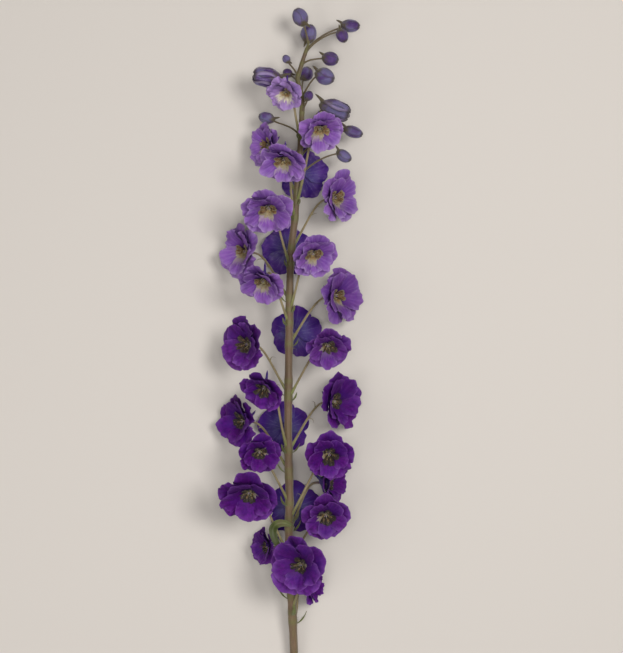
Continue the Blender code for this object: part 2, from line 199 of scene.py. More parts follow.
def tubeFaces(rings, sides):
    last = (rings - 1) * sides
    return ringFaces(rings, sides) + [tuple(reversed(range(sides))), tuple(range(last, last + sides))]


def closeSheet(middle, normal, thickness, faces, rim):
    # a closed thin solid round a sheet of points; its first half faces the viewer of the sheet
    normal = normal / np.maximum(np.linalg.norm(normal, axis=2, keepdims=True), 1e-9)
    half = normal * thickness[..., None] / 2.0
    size = thickness.size
    faces = faces + [tuple(corner + size for corner in reversed(face)) for face in faces]
    for first, second in zip(rim, rim[1:] + rim[:1]):
        faces.append((second, first, first + size, second + size))
    points = np.concatenate(((middle + half).reshape(-1, 3), (middle - half).reshape(-1, 3)))
    return points, faces, np.repeat((0.0, 1.0), size)


def thickBlade(middle, thickness):
    # from a grid of points, across by along
    grid = np.arange(thickness.size).reshape(thickness.shape)
    faces = np.stack((grid[:-1, :-1], grid[:-1, 1:], grid[1:, 1:], grid[1:, :-1]), axis=2)
    rim = np.concatenate((grid[0, :-1], grid[:-1, -1], grid[-1, :0:-1], grid[:0:-1, 0]))
    normal = np.cross(np.gradient(middle, axis=1), np.gradient(middle, axis=0))
    return closeSheet(middle, normal, thickness, faces.reshape(-1, 4).tolist(), rim.tolist())


def thickPetal(middle, thickness):
    # from rings of points round the petal's middle
    rings, spokes = thickness.shape
    around = np.concatenate((middle[:, -1:], middle, middle[:, :1]), axis=1)
    normal = np.cross(np.gradient(middle, axis=0), around[:, 2:] - around[:, :-2])
    turned = [face[:1] + face[:0:-1] for face in ringFaces(rings, spokes)]
    rim = list(range((rings - 1) * spokes, rings * spokes))
    return closeSheet(middle, normal, thickness, [tuple(range(spokes))] + turned, rim)


def sheetUv(across, upward):
    # the same on both faces of a sheet
    uv = np.stack((across, upward), axis=2).reshape(-1, 2)
    return np.concatenate((uv, uv))


def discRings(rings, spokes):
    # rings closer together toward the edge: x across and y along, both from -1 to 1
    size = 0.05 + 0.95 * np.sin(np.linspace(0.0, math.pi / 2.0, rings))
    size, turn = np.meshgrid(size, np.arange(spokes) * full / spokes, indexing="ij")
    return size * np.cos(turn), size * np.sin(turn)


def placed(place, points):
    turn = np.array(place)
    return (points.reshape(-1, 3) @ turn[:3, :3].T + turn[:3, 3]).reshape(points.shape)


def squared(direction, ahead):
    # the direction without what it has of ahead
    return (direction - ahead * direction.dot(ahead)).normalized()


def circle(centre, ahead, across, radius, sides, ridges=0, depth=0.0):
    beside = ahead.cross(across)
    points = []
    for side in range(sides):
        turn = full * side / sides
        swell = radius * (1.0 + depth * math.cos(ridges * turn))
        points.append(centre + (across * math.cos(turn) + beside * math.sin(turn)) * swell)
    return points


def addTube(store, place, path, radii, sides, ridges=0, depth=0.0, lengths=(0.0, 1.0), **marks):
    # closed rings along a path, drawn to points where the radius is small; lengths are UV
    path = [Vector(centre) for centre in path]
    last = len(path) - 1
    across = east
    points = []
    for index, (centre, radius) in enumerate(zip(path, radii)):
        ahead = (path[min(index + 1, last)] - path[max(index - 1, 0)]).normalized()
        across = squared(across, ahead)
        points += circle(centre, ahead, across, radius, sides, ridges, depth)
    turns = np.tile(np.arange(sides) / sides, last + 1)
    uv = np.stack((turns, np.repeat(np.linspace(*lengths, last + 1), sides)), axis=1)
    points = placed(place, np.array([tuple(point) for point in points]))
    addPart(store, points, tubeFaces(last + 1, sides), uv, **marks)


# Node trees: a node stands for its first output

def colour(red, green, blue):
    # a screen colour from 0 to 255, made linear
    parts = [part / 255.0 for part in (red, green, blue)]
    return tuple(part / 12.92 if part <= 0.04045 else ((part + 0.055) / 1.055) ** 2.4 for part in parts)


def feed(socket, value):
    # with a node, a socket, a screen colour or a plain value
    if isinstance(value, bpy.types.Node):
        value = value.outputs[0]
    if isinstance(value, bpy.types.NodeSocket):
        socket.id_data.links.new(value, socket)
    elif socket.type == "RGBA":
        socket.default_value = (*colour(*value), 1.0)
    else:
        socket.default_value = value


def addNode(tree, kind, inputs=(), **settings):
    made = tree.nodes.new(kind)
    for label, value in settings.items():
        setattr(made, label, value)
    for label, value in dict(inputs).items():
        feed(made.inputs[label], value)
    return made


def figure(operation, *values):
    tree = next(value.id_data for value in values if hasattr(value, "id_data"))
    return addNode(tree, "ShaderNodeMath", enumerate(values), operation=operation)


def times(first, *others):
    for other in others:
        first = figure("MULTIPLY", first, other)
    return first


def scaled(value, factor, offset):
    return figure("MULTIPLY_ADD", value, factor, offset)


def ramp(value, low, high, bottom=0.0, top=1.0):
    inputs = enumerate((value, low, high, bottom, top))
    return addNode(value.id_data, "ShaderNodeMapRange", inputs, interpolation_type="SMOOTHSTEP")


def mixed(share, first, second):
    inputs = {0: share, 6: first, 7: second}
    return addNode(share.id_data, "ShaderNodeMix", inputs, data_type="RGBA").outputs[2]


def layered(skin, *layers):
    # each layer is its share and its colour
    for share, top in layers:
        skin = mixed(share, skin, top)
    return skin


def newTree(name, kind, **inputs):
    # inputs give the kind of each socket; a shader group gives a Value, a geometry one a Geometry
    tree = bpy.data.node_groups.new(name, kind + "NodeTree")
    for label, socket in inputs.items():
        tree.interface.new_socket(label, in_out="INPUT", socket_type="NodeSocket" + socket)
    label, socket = {"Shader": ("Value", "Float"), "Geometry": ("Geometry", "Geometry")}[kind]
    tree.interface.new_socket(label, in_out="OUTPUT", socket_type="NodeSocket" + socket)
    return tree, tree.nodes.new("NodeGroupInput").outputs, tree.nodes.new("NodeGroupOutput").inputs[0]


# Shared effects

def makeVeins():
    # fine veins that fan out from a petal's root; Across runs -1 to 1, Along 0 to 1
    tree, given, result = newTree(
        "fanVeins", "Shader", Across="Float", Along="Float", Count="Float", Waver="Float")
    across, length, count, waver = given[:4]
    fan = figure("DIVIDE", across, scaled(length, 0.55, 0.45))
    flat = addNode(tree, "ShaderNodeCombineXYZ", {0: across, 1: length})
    cloud = addNode(tree, "ShaderNodeTexNoise", {"Vector": flat, "Scale": 3.5})
    sway = times(figure("SUBTRACT", cloud, 0.5), waver)
    wave = figure("SINE", figure("ADD", times(fan, count), sway))
    feed(result, figure("POWER", figure("SUBTRACT", 1.0, figure("ABSOLUTE", wave)), 3.0))
    return tree


def makeClouds(name, detail, stretched):
    # soft patches from 0 to 1, or long streaks along the stem's own direction
    kinds = {"Vector": "Vector", "Scale": "Float"}
    if stretched:
        kinds["Stretch"] = "Float"
    tree, given, result = newTree(name, "Shader", **kinds)
    place = given["Vector"]
    if stretched:
        x, y, z = addNode(tree, "ShaderNodeSeparateXYZ", {0: place}).outputs
        y = figure("DIVIDE", y, given["Stretch"])
        place = addNode(tree, "ShaderNodeCombineXYZ", {0: x, 1: y, 2: z})
    inputs = {"Vector": place, "Scale": given["Scale"], "Detail": detail}
    feed(result, ramp(addNode(tree, "ShaderNodeTexNoise", inputs), 0.3, 0.7))
    return tree


effects = {
    "veins": makeVeins(),
    "mottle": makeClouds("softPatches", 3.0, False),
    "fibres": makeClouds("longFibres", 2.0, True),
}


def useEffect(effect, **inputs):
    tree = next(iter(inputs.values())).id_data
    return addNode(tree, "ShaderNodeGroup", inputs, node_tree=effects[effect])


def veins(petal, count, waver):
    return useEffect("veins", Across=petal[0], Along=petal[1], Count=count, Waver=waver)


def mottle(place, scale):
    return useEffect("mottle", Vector=place, Scale=scale)


def fibres(place, scale, stretch):
    return useEffect("fibres", Vector=place, Scale=scale, Stretch=stretch)


# Materials: each look holds colours, then masks by name, as ranges, shares and scales

surfaceSockets = {
    "roughness": "Roughness", "sheen": "Sheen Weight", "sheenRoughness": "Sheen Roughness",
    "sheenTint": "Sheen Tint", "specular": "Specular IOR Level", "subsurface": "Subsurface Weight",
    "scatter": "Subsurface Radius", "scatterScale": "Subsurface Scale",
}
commonSurface = {"sheenRoughness": 0.45, "sheenTint": (255, 255, 255), "specular": 0.3, "scatterScale": mm}


def makeMaterial(name, look, paint):
    # paint gives the colour and the height; relief is the bump's strength and depth
    material = bpy.data.materials.new(name)
    material.use_nodes = True
    tree = material.node_tree
    shader = tree.nodes["Principled BSDF"]
    for label, value in {**commonSurface, **look}.items():
        if label in surfaceSockets:
            feed(shader.inputs[surfaceSockets[label]], value)
    skin, height = paint(tree, addNode(tree, "ShaderNodeTexCoord").outputs["Object"], look)
    strength, depth = look["relief"]
    relief = {"Strength": strength, "Distance": depth * mm, "Height": height}
    feed(shader.inputs["Base Color"], skin)
    feed(shader.inputs["Normal"], addNode(tree, "ShaderNodeBump", relief))
    return material


def readMarks(tree, *labels):
    return [addNode(tree, "ShaderNodeAttribute", attribute_name=label).outputs["Fac"] for label in labels]


def petalPlace(tree):
    # across from -1 to 1, along from 0 to 1, and the distance from the middle, 1 at the edge
    axes = addNode(tree, "ShaderNodeSeparateXYZ", {0: addNode(tree, "ShaderNodeUVMap", uv_map="petal")})
    across, upward = (scaled(axis, 2.0, -1.0) for axis in axes.outputs[:2])
    squares = figure("ADD", figure("POWER", across, 2.0), figure("POWER", upward, 2.0))
    return across, axes.outputs[1], figure("SQRT", squares)


sepalSkin = {
    "roughness": 0.62, "sheen": 0.08, "sheenTint": (150, 96, 200), "specular": 0.1,
    "subsurface": 0.1, "scatter": (1.2, 0.5, 1.6), "relief": (0.5, 0.2),
    "light": (144, 98, 176),      # lavender of the upper florets
    "lightDeep": (108, 58, 142),  # nearer the throat
    "deep": (66, 8, 92),          # purple of the lower ones
    "deepBright": (92, 16, 120),  # the middle of a lower sepal
    "blue": (50, 20, 112),
    "young": (172, 150, 186),     # the newest floret at the top
    # rim colours: the sepals' own paler edge, partly a painted highlight
    "rimLight": (176, 150, 196), "rimDeep": (114, 66, 144),
    # throat and shadow are painted shade colours, for the throat's recess and the upper sepals
    "throat": (40, 12, 52), "shadow": (44, 6, 66), "cream": (172, 158, 150),
    "back": (56, 26, 108), "greyBlue": (86, 82, 128), "backVein": (146, 134, 170),
    "veins": (17.0, 2.4), "streaks": (8.0, 5.0), "patches": 110.0, "flecks": 420.0,
    "outward": (0.15, 0.8), "youngShare": 0.45,
    "dusk": (0.62, 0.04),         # painted shade: how much darker the upper sepals are, by tone
    "blueHue": 0.12, "bluePatches": 0.3, "veinShare": 0.24,
    "streakFrom": (0.3, 0.7), "streakShare": 0.3,
    "rim": (0.55, 1.05), "rimPatches": (0.65, 0.1), "rimLower": (0.6, 0.4), "rimFrom": (0.35, 0.7),
    "hem": (0.88, 1.0), "hemFlecks": (0.5, 0.1),
    "throatEnd": (-0.12, 0.44), "throatRoot": 0.12, "throatShare": 0.92,
    "creamLower": (0.55, 0.95), "creamTone": (-0.85, 0.85), "creamEnd": (0.25, 0.62), "creamRoot": 0.3,
    "backPatches": 0.5, "foot": (0.85, 0.25), "footPatches": (0.7, 0.2), "backVeins": (0.95, 0.4, 0.0, 0.6),
    "veinRelief": 0.5, "fleckRelief": 0.5,
}


def paintSepal(tree, place, look):
    petal = petalPlace(tree)
    length, middle = petal[1:]
    tone, side, lower, hue, young = readMarks(tree, "tone", "side", "lower", "shift", "young")
    vein, streak = veins(petal, *look["veins"]), veins(petal, *look["streaks"])
    patch, fleck = mottle(place, look["patches"]), mottle(place, look["flecks"])
    outward = ramp(length, *look["outward"])
    light = mixed(outward, look["lightDeep"], look["light"])
    light = mixed(times(young, look["youngShare"]), light, look["young"])
    deep = mixed(times(outward, fleck), look["deep"], look["deepBright"])
    # painted shade: the upper sepals, turned away from the light, are darkened toward the shadow colour
    dusk = times(figure("SUBTRACT", 1.0, lower), scaled(tone, *look["dusk"]))
    cool = scaled(hue, look["blueHue"], times(patch, look["bluePatches"]))
    soft = times(streak, ramp(length, *look["streakFrom"]), look["streakShare"])
    softColour = mixed(tone, look["rimLight"], look["deepBright"])
    # pale margins, the edges' own colour, brightened on the lower sepals that face the light as a painted
    # highlight
    rim = times(ramp(middle, *look["rim"]), scaled(patch, *look["rimPatches"]),
                scaled(lower, *look["rimLower"]), ramp(length, *look["rimFrom"]))
    rimPaleAndHighlight = mixed(tone, look["rimLight"], look["rimDeep"])
    hem = times(ramp(middle, *look["hem"]), scaled(fleck, *look["hemFlecks"]))
    # painted shade in the throat's recess near the roots, reaching further on the upper sepals
    throat = ramp(length, scaled(lower, *look["throatEnd"]), look["throatRoot"])
    cream = times(ramp(lower, *look["creamLower"]), scaled(tone, *look["creamTone"]),
                  ramp(length, scaled(streak, *look["creamEnd"]), look["creamRoot"]))
    front = layered(
        mixed(tone, light, deep), (dusk, look["shadow"]), (figure("MAXIMUM", cool, 0.0), look["blue"]),
        (times(vein, look["veinShare"]), look["deep"]), (soft, softColour), (rim, rimPaleAndHighlight),
        (hem, rimPaleAndHighlight), (times(throat, look["throatShare"]), look["throat"]), (cream, look["cream"]))
    foot = times(ramp(length, *look["foot"]), scaled(patch, *look["footPatches"]))
    pale = times(streak, vein, ramp(length, *look["backVeins"]))
    back = layered(mixed(times(patch, look["backPatches"]), look["back"], front),
                   (foot, look["greyBlue"]), (pale, look["backVein"]))
    height = scaled(vein, look["veinRelief"], times(fleck, look["fleckRelief"]))
    return mixed(side, front, back), height


budSkin = {
    "roughness": 0.6, "sheen": 0.3, "specular": 0.2, "subsurface": 0.08, "scatter": (1.0, 0.6, 1.2),
    "relief": (0.35, 0.1),
    "grey": (94, 90, 126), "violet": (60, 32, 90), "lilac": (106, 78, 136), "pale": (150, 132, 170),
    "tip": (62, 52, 42), "base": (84, 74, 50),
    "patches": 75.0, "violetPatches": (0.3, 0.7), "clouds": 300.0, "cloudShare": 0.35, "flecks": 1400.0,
    "streaks": (5.0, 4.0), "bandWaver": 0.5, "band": (0.0, 0.8, 0.0, 0.8),
    "veins": (7.0, 1.6), "veinShare": 0.14, "veinRelief": 0.6,
    "rim": (0.72, 1.0), "rimShare": 0.55, "footWaver": 0.25, "foot": (0.6, 0.2, 0.0, 0.95),
    "nose": (0.84, 1.0, 0.0, 0.8), "innerShare": 0.3,
}


def paintBud(tree, place, look):
    petal = across, length, middle = petalPlace(tree)
    stripe, side, hue = readMarks(tree, "stripe", "side", "shift")
    vein, streak = veins(petal, *look["veins"]), veins(petal, *look["streaks"])
    patch, cloud, fleck = (mottle(place, look[label]) for label in ("patches", "clouds", "flecks"))
    violet = ramp(figure("ADD", patch, hue), *look["violetPatches"])
    band = times(stripe, ramp(scaled(streak, look["bandWaver"], across), *look["band"]))
    rim = times(ramp(middle, *look["rim"]), look["rimShare"])
    foot = ramp(scaled(cloud, look["footWaver"], length), *look["foot"])
    skin = layered(
        mixed(violet, look["grey"], look["violet"]), (times(cloud, look["cloudShare"]), look["lilac"]),
        (band, look["pale"]), (times(vein, look["veinShare"]), look["tip"]), (rim, look["tip"]),
        (foot, look["base"]), (ramp(length, *look["nose"]), look["tip"]),
        (times(side, look["innerShare"]), look["lilac"]))
    return skin, scaled(vein, look["veinRelief"], fleck)


eyeSkin = {
    "roughness": 0.6, "sheen": 0.1, "subsurface": 0.12, "scatter": (1.2, 1.0, 0.6), "relief": (0.5, 0.1),
    "young": (208, 200, 176),     # the fan of the newest floret
    "greyish": (142, 130, 124),   # the fan of a purple floret
    "cream": (154, 144, 116), "green": (134, 130, 88), "golden": (140, 104, 56), "brown": (84, 56, 30),
    "dark": (36, 28, 24), "tan": (124, 96, 58), "lavender": (156, 128, 172), "purple": (84, 34, 120),
    "veins": (10.0, 2.0), "streaks": (6.0, 4.0), "flecks": 900.0, "patches": 330.0,
    "greyTone": 0.65, "greenFoot": (0.6, 0.1), "tuft": (0.62, 0.35), "tuftPatches": (0.8, 0.1),
    "violetFrom": (0.3, 0.5), "darkFoot": (0.4, 0.15),
    "rim": (0.7, 0.95), "rimFrom": (0.25, 0.5), "rimShare": 0.85,
    "spot": (0.5, 0.15), "spotFlecks": (0.8, 0.15), "veinShare": 0.25, "fleckShare": 0.2,
}


def paintEye(tree, place, look):
    # shade is 0 on the pale fan and 1 on the bearded petals
    petal = petalPlace(tree)
    length, middle = petal[1:]
    shade, tone, young = readMarks(tree, "shade", "tone", "young")
    vein, streak = veins(petal, *look["veins"]), veins(petal, *look["streaks"])
    fleck, patch = mottle(place, look["flecks"]), mottle(place, look["patches"])
    tuft = times(ramp(length, *look["tuft"]), scaled(patch, *look["tuftPatches"]))
    violet = ramp(length, scaled(streak, *look["violetFrom"]), 1.0)
    pale = layered(
        look["cream"], (times(tone, look["greyTone"]), look["greyish"]), (young, look["young"]),
        (ramp(length, *look["greenFoot"]), look["green"]), (tuft, look["golden"]),
        (violet, mixed(tone, look["lavender"], look["purple"])))
    rim = times(ramp(middle, *look["rim"]), ramp(length, *look["rimFrom"]), look["rimShare"])
    brown = layered(look["golden"], (patch, look["brown"]), (ramp(length, *look["darkFoot"]), look["dark"]),
                    (rim, look["cream"]))
    spot = times(ramp(middle, *look["spot"]), scaled(fleck, *look["spotFlecks"]))
    black = mixed(spot, look["dark"], look["tan"])
    skin = layered(pale, (shade, mixed(tone, brown, black)), (times(vein, look["veinShare"]), look["brown"]),
                   (times(fleck, look["fleckShare"]), look["dark"]))
    return skin, figure("ADD", vein, fleck)


stemSkin = {
    "roughness": 0.55, "sheen": 0.3, "subsurface": 0.05, "scatter": (1.0, 0.8, 0.4), "relief": (0.5, 0.15),
    "low": (124, 99, 78), "high": (94, 74, 55), "brown": (84, 62, 45), "olive": (102, 92, 62),
    "green": (102, 110, 54), "greenBottom": (102, 104, 58),
    "lines": (1100.0, 16.0), "lineShare": 0.5, "patches": 60.0, "patchShare": 0.35,
    "bands": (380.0, 60.0), "bandRange": (0.5, 0.9), "bandRise": (0.16, 0.06, 0.0, 0.9),
    "jointPower": 4.0, "jointShare": 0.5, "specks": 2600.0, "speckRelief": 0.3,
}


def paintStem(tree, place, look):
    rise, axil = readMarks(tree, "rise", "axil")
    line, band = fibres(place, *look["lines"]), fibres(place, *look["bands"])
    patch, speck = mottle(place, look["patches"]), mottle(place, look["specks"])
    lowest = times(ramp(band, *look["bandRange"]), ramp(rise, *look["bandRise"]))
    joint = times(figure("POWER", axil, look["jointPower"]), look["jointShare"])
    skin = layered(
        mixed(rise, look["low"], look["high"]), (times(line, look["lineShare"]), look["brown"]),
        (times(patch, look["patchShare"]), look["olive"]), (lowest, look["greenBottom"]),
        (joint, look["green"]))
    return skin, scaled(speck, look["speckRelief"], line)


stalkSkin = {
    "roughness": 0.55, "sheen": 0.3, "subsurface": 0.08, "scatter": (1.0, 0.8, 0.4), "relief": (0.35, 0.1),
    "foot": (112, 122, 62), "middle": (140, 126, 92), "top": (104, 84, 92), "brown": (98, 78, 54),
    "dark": (80, 66, 46),         # of the buds' stalks
    "footEnd": (0.0, 0.3), "topFrom": (0.7, 1.0), "patches": 130.0, "patchShare": 0.45,
    "darkShare": 0.8, "lines": (1500.0, 8.0),
}


def paintStalk(tree, place, look):
    rise, dark = readMarks(tree, "rise", "axil")
    skin = layered(
        look["foot"], (ramp(rise, *look["footEnd"]), look["middle"]),
        (ramp(rise, *look["topFrom"]), look["top"]),
        (times(mottle(place, look["patches"]), look["patchShare"]), look["brown"]),
        (times(dark, look["darkShare"]), look["dark"]))
    return skin, fibres(place, *look["lines"])


bractSkin = {
    "roughness": 0.5, "sheen": 0.2, "subsurface": 0.1, "scatter": (0.8, 1.2, 0.3), "relief": (0.4, 0.12),
    # folded is a painted shade colour for the downturned limb of the loose bract
    "leaf": (102, 110, 60), "dull": (94, 92, 58), "rib": (130, 132, 98), "folded": (54, 62, 20),
    "tip": (96, 74, 44),
    "patches": 180.0, "ribWidth": (0.2, 0.04), "ribShare": 0.6, "foldedShare": 0.92,
    "tipFrom": (0.88, 1.0, 0.0, 0.8), "lines": 9.0,
}


def paintBract(tree, place, look):
    across, length = petalPlace(tree)[:2]
    folded = readMarks(tree, "shade")[0]
    rib = ramp(figure("ABSOLUTE", across), *look["ribWidth"])
    line = figure("ABSOLUTE", figure("SINE", times(across, look["lines"])))
    # painted shade on the folded-down limb of the loose bract
    skin = layered(
        look["leaf"], (mottle(place, look["patches"]), look["dull"]),
        (times(rib, look["ribShare"]), look["rib"]),
        (times(folded, look["foldedShare"]), look["folded"]), (ramp(length, *look["tipFrom"]), look["tip"]))
    return skin, figure("POWER", line, 0.5)


def paintPlain(tree, place, look):
    patch = mottle(place, look["patches"])
    return mixed(patch, look["first"], look["second"]), patch


def makePlain(name, first, second, patches, roughness, sheen=0.2, subsurface=0.05):
    # two close colours in soft patches, for threads, hairs and anthers
    look = {"first": first, "second": second, "patches": patches, "roughness": roughness, "sheen": sheen,
            "subsurface": subsurface, "scatter": (1.0, 0.8, 0.5), "relief": (0.3, 0.05)}
    return makeMaterial(name, look, paintPlain)


skins = {
    "sepal": makeMaterial("sepalViolet", sepalSkin, paintSepal),
    "bud": makeMaterial("budViolet", budSkin, paintBud),
    "eye": makeMaterial("eyePetal", eyeSkin, paintEye),
    "thread": makePlain("threadCream", (206, 196, 150), (168, 164, 104), 900.0, 0.5),
    "anther": makePlain("antherBrown", (112, 84, 50), (58, 40, 28), 60.0, 0.65),
    "beard": makePlain("beardGolden", (188, 158, 104), (134, 98, 54), 300.0, 0.5, 0.3),
    "stem": makeMaterial("stemBark", stemSkin, paintStem),
    "stalk": makeMaterial("stalkGreen", stalkSkin, paintStalk),
    "bract": makeMaterial("bractGreen", bractSkin, paintBract),
    "hair": makePlain("hairPale", (176, 170, 140), (140, 132, 104), 500.0, 0.5),
    "pith": makePlain("cutPith", (186, 190, 138), (150, 156, 98), 1500.0, 0.6),
}
print("materials made:", len(skins))


# Geometry trees

lengthInputs = ("Spacing", "Length", "Base", "Tip", "Width")


def finishTree(tree, result, geometry, material):
    real = addNode(tree, "GeometryNodeRealizeInstances", {0: geometry})
    feed(result, addNode(tree, "GeometryNodeSetMaterial", {"Geometry": real, "Material": material}))
    return tree


def makeTubeTree():
    # ridged tubes along the edges of a mesh, as thick as its "thick" attribute
    tree, given, result = newTree(
        "grownTubes", "Geometry", Geometry="Geometry", Spacing="Float", Sides="Int", Ridges="Float",
        Depth="Float", Material="Material")
    paths = addNode(tree, "GeometryNodeMeshToCurve", {"Mesh": given["Geometry"]})
    curved = addNode(tree, "GeometryNodeCurveSplineType", {"Curve": paths}, spline_type="CATMULL_ROM")
    spacing = {"Curve": curved, "Length": given["Spacing"]}
    even = addNode(tree, "GeometryNodeResampleCurve", spacing, mode="LENGTH")
    ring = addNode(tree, "GeometryNodeCurvePrimitiveCircle", {"Resolution": given["Sides"], "Radius": 1.0})
    spot = addNode(tree, "GeometryNodeInputPosition")
    axes = addNode(tree, "ShaderNodeSeparateXYZ", {0: spot}).outputs
    wave = figure("COSINE", times(figure("ARCTAN2", axes[1], axes[0]), given["Ridges"]))
    ridged = {0: spot, "Scale": scaled(wave, given["Depth"], 1.0)}
    ridged = addNode(tree, "ShaderNodeVectorMath", ridged, operation="SCALE")
    profile = addNode(tree, "GeometryNodeSetPosition", {"Geometry": ring, "Position": ridged})
    thick = addNode(tree, "GeometryNodeInputNamedAttribute", {0: "thick"}, data_type="FLOAT")
    skin = addNode(tree, "GeometryNodeCurveToMesh", {
        "Curve": even, "Profile Curve": profile, "Scale": thick, "Fill Caps": True})
    shaded = addNode(tree, "GeometryNodeSetShadeSmooth", {0: skin})
    return finishTree(tree, result, shaded, given["Material"])


def makeStandTree(name, knob):
    # thin cones, or knobs, that stand on points along their "aim", scaled by their "size"
    tree, given, result = newTree(
        name, "Geometry", Geometry="Geometry", Length="Float", Base="Float", Tip="Float", Sides="Int",
        Material="Material")
    if knob:
        ball = addNode(tree, "GeometryNodeMeshUVSphere", {
            "Segments": given["Sides"], "Rings": 5, "Radius": given["Base"]})
        shape = addNode(tree, "GeometryNodeTransform", {"Geometry": ball, "Scale": (1.0, 0.7, 1.5)})
    else:
        shape = addNode(tree, "GeometryNodeMeshCone", {
            "Vertices": given["Sides"], "Side Segments": 1, "Radius Top": given["Tip"],
            "Radius Bottom": given["Base"], "Depth": given["Length"]})
    aim = addNode(tree, "GeometryNodeInputNamedAttribute", {0: "aim"}, data_type="FLOAT_VECTOR")
    size = addNode(tree, "GeometryNodeInputNamedAttribute", {0: "size"}, data_type="FLOAT")
    turned = addNode(tree, "FunctionNodeAlignRotationToVector", {"Vector": aim}, axis="Z")
    copies = addNode(tree, "GeometryNodeInstanceOnPoints", {
        "Points": given["Geometry"], "Instance": shape, "Rotation": turned, "Scale": size})
    real = addNode(tree, "GeometryNodeRealizeInstances", {0: copies})
    shaded = addNode(tree, "GeometryNodeSetShadeSmooth", {0: real})
    return finishTree(tree, result, shaded, given["Material"])


def makeFuzzTree():
    # short hairs scattered over a surface, leaning a little each its own way
    tree, given, result = newTree(
        "fineHairs", "Geometry", Geometry="Geometry", Density="Float", Length="Float", Width="Float",
        Lean="Float", Seed="Int", Material="Material")
    lean, seed = given["Lean"], given["Seed"]
    spots = addNode(tree, "GeometryNodeDistributePointsOnFaces", {
        "Mesh": given["Geometry"], "Density": given["Density"], "Seed": seed})
    hair = addNode(tree, "GeometryNodeMeshCone", {
        "Vertices": 3, "Radius Top": 0.0, "Radius Bottom": given["Width"], "Depth": given["Length"]})
    sway = addNode(tree, "FunctionNodeRandomValue", {"Seed": seed}, data_type="FLOAT_VECTOR")
    feed(sway.inputs[0], times(lean, -1.0))
    feed(sway.inputs[1], lean)
    angles = addNode(tree, "FunctionNodeEulerToRotation", {0: sway})
    turned = addNode(tree, "FunctionNodeRotateRotation", {0: spots.outputs["Rotation"], 1: angles},
                     rotation_space="LOCAL")
    size = addNode(tree, "FunctionNodeRandomValue", {2: 0.45, 3: 1.0, "Seed": seed}, data_type="FLOAT")
    copies = addNode(tree, "GeometryNodeInstanceOnPoints", {
        "Points": spots, "Instance": hair, "Rotation": turned, "Scale": size.outputs[1]})
    return finishTree(tree, result, copies, given["Material"])


def growPiece(name, source, tree, slot, nodes, skin, **settings):
    # a piece from the tree's result on the source mesh, as a plain mesh
    carrier = bpy.data.objects.new(name + "Source", source)
    bpy.context.scene.collection.objects.link(carrier)
    modifier = carrier.modifiers.new("grow", "NODES")
    modifier.node_group = tree
    settings["Material"] = skins[skin]
    for item in tree.interface.items_tree:
        if item.in_out == "INPUT" and item.name in settings:
            value = settings[item.name]
            modifier[item.identifier] = value * mm if item.name in lengthInputs else value
    graph = bpy.context.evaluated_depsgraph_get()
    grown = bpy.data.meshes.new_from_object(
        carrier.evaluated_get(graph), preserve_all_data_layers=True, depsgraph=graph)
    grown.name = name
    carrier.modifiers.remove(modifier)
    bpy.data.objects.remove(carrier)
    return addPiece(name, grown, slot, nodes)


def wireMesh(points, edges, **marks):
    # points in mm, with their attributes
    mesh = bpy.data.meshes.new("wire")
    mesh.from_pydata([tuple((np.array(point) + shift) * mm) for point in points], edges, [])
    for label, values in marks.items():
        values = np.array(values, dtype=np.float32)
        kind, field = ("FLOAT", "value") if values.ndim == 1 else ("FLOAT_VECTOR", "vector")
        mesh.attributes.new(label, kind, "POINT").data.foreach_set(field, values.ravel())
    return mesh


def pathMesh(paths):
    # each path is its points and radii, joined by edges
    points, edges = [], []
    marks = {"thick": [], "rise": [], "axil": []}
    for path in paths:
        count = len(path["points"])
        edges += [(len(points) + step, len(points) + step + 1) for step in range(count - 1)]
        points += path["points"]
        marks["thick"] += [radius * mm for radius in path["radii"]]
        marks["rise"] += list(path.get("rise", np.linspace(0.0, 1.0, count)))
        marks["axil"] += path.get("axil", [0.0] * count)
    return wireMesh(points, edges, **marks)


tubeTree = makeTubeTree()
threadTree = makeStandTree("standingThreads", False)
knobTree = makeStandTree("standingKnobs", True)
fuzzTree = makeFuzzTree()


studio = {
    "middle": (17.7, 32.75),   # of the picture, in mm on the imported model
    "tall": 555.0,             # of the picture, at the flowers' height
    "flowerHeight": 45.0, "distance": 1600.0, "sensor": 36.0,
    # place, size in metres and power
    "lights": {"key": ((950.0, 420.0, 2200.0), 0.8, 34.0), "fill": ((-800.0, -700.0, 1500.0), 1.2, 10.0),
               "front": ((17.7, 32.75, 1800.0), 0.5, 9.5)},
    "skyColour": (206, 204, 206), "skyPower": 0.22,
    "floor": (204, 197, 189), "floorHalf": 5000.0,
}


def addLight(name, place, size, power):
    lamp = bpy.data.lights.new(name, "AREA")
    lamp.size = size
    lamp.energy = power
    light = bpy.data.objects.new(name, lamp)
    light.location = Vector(place) * mm
    target = Vector((*studio["middle"], 0.0)) * mm
    light.rotation_euler = (target - light.location).to_track_quat("-Z", "Y").to_euler()
    bpy.context.scene.collection.objects.link(light)


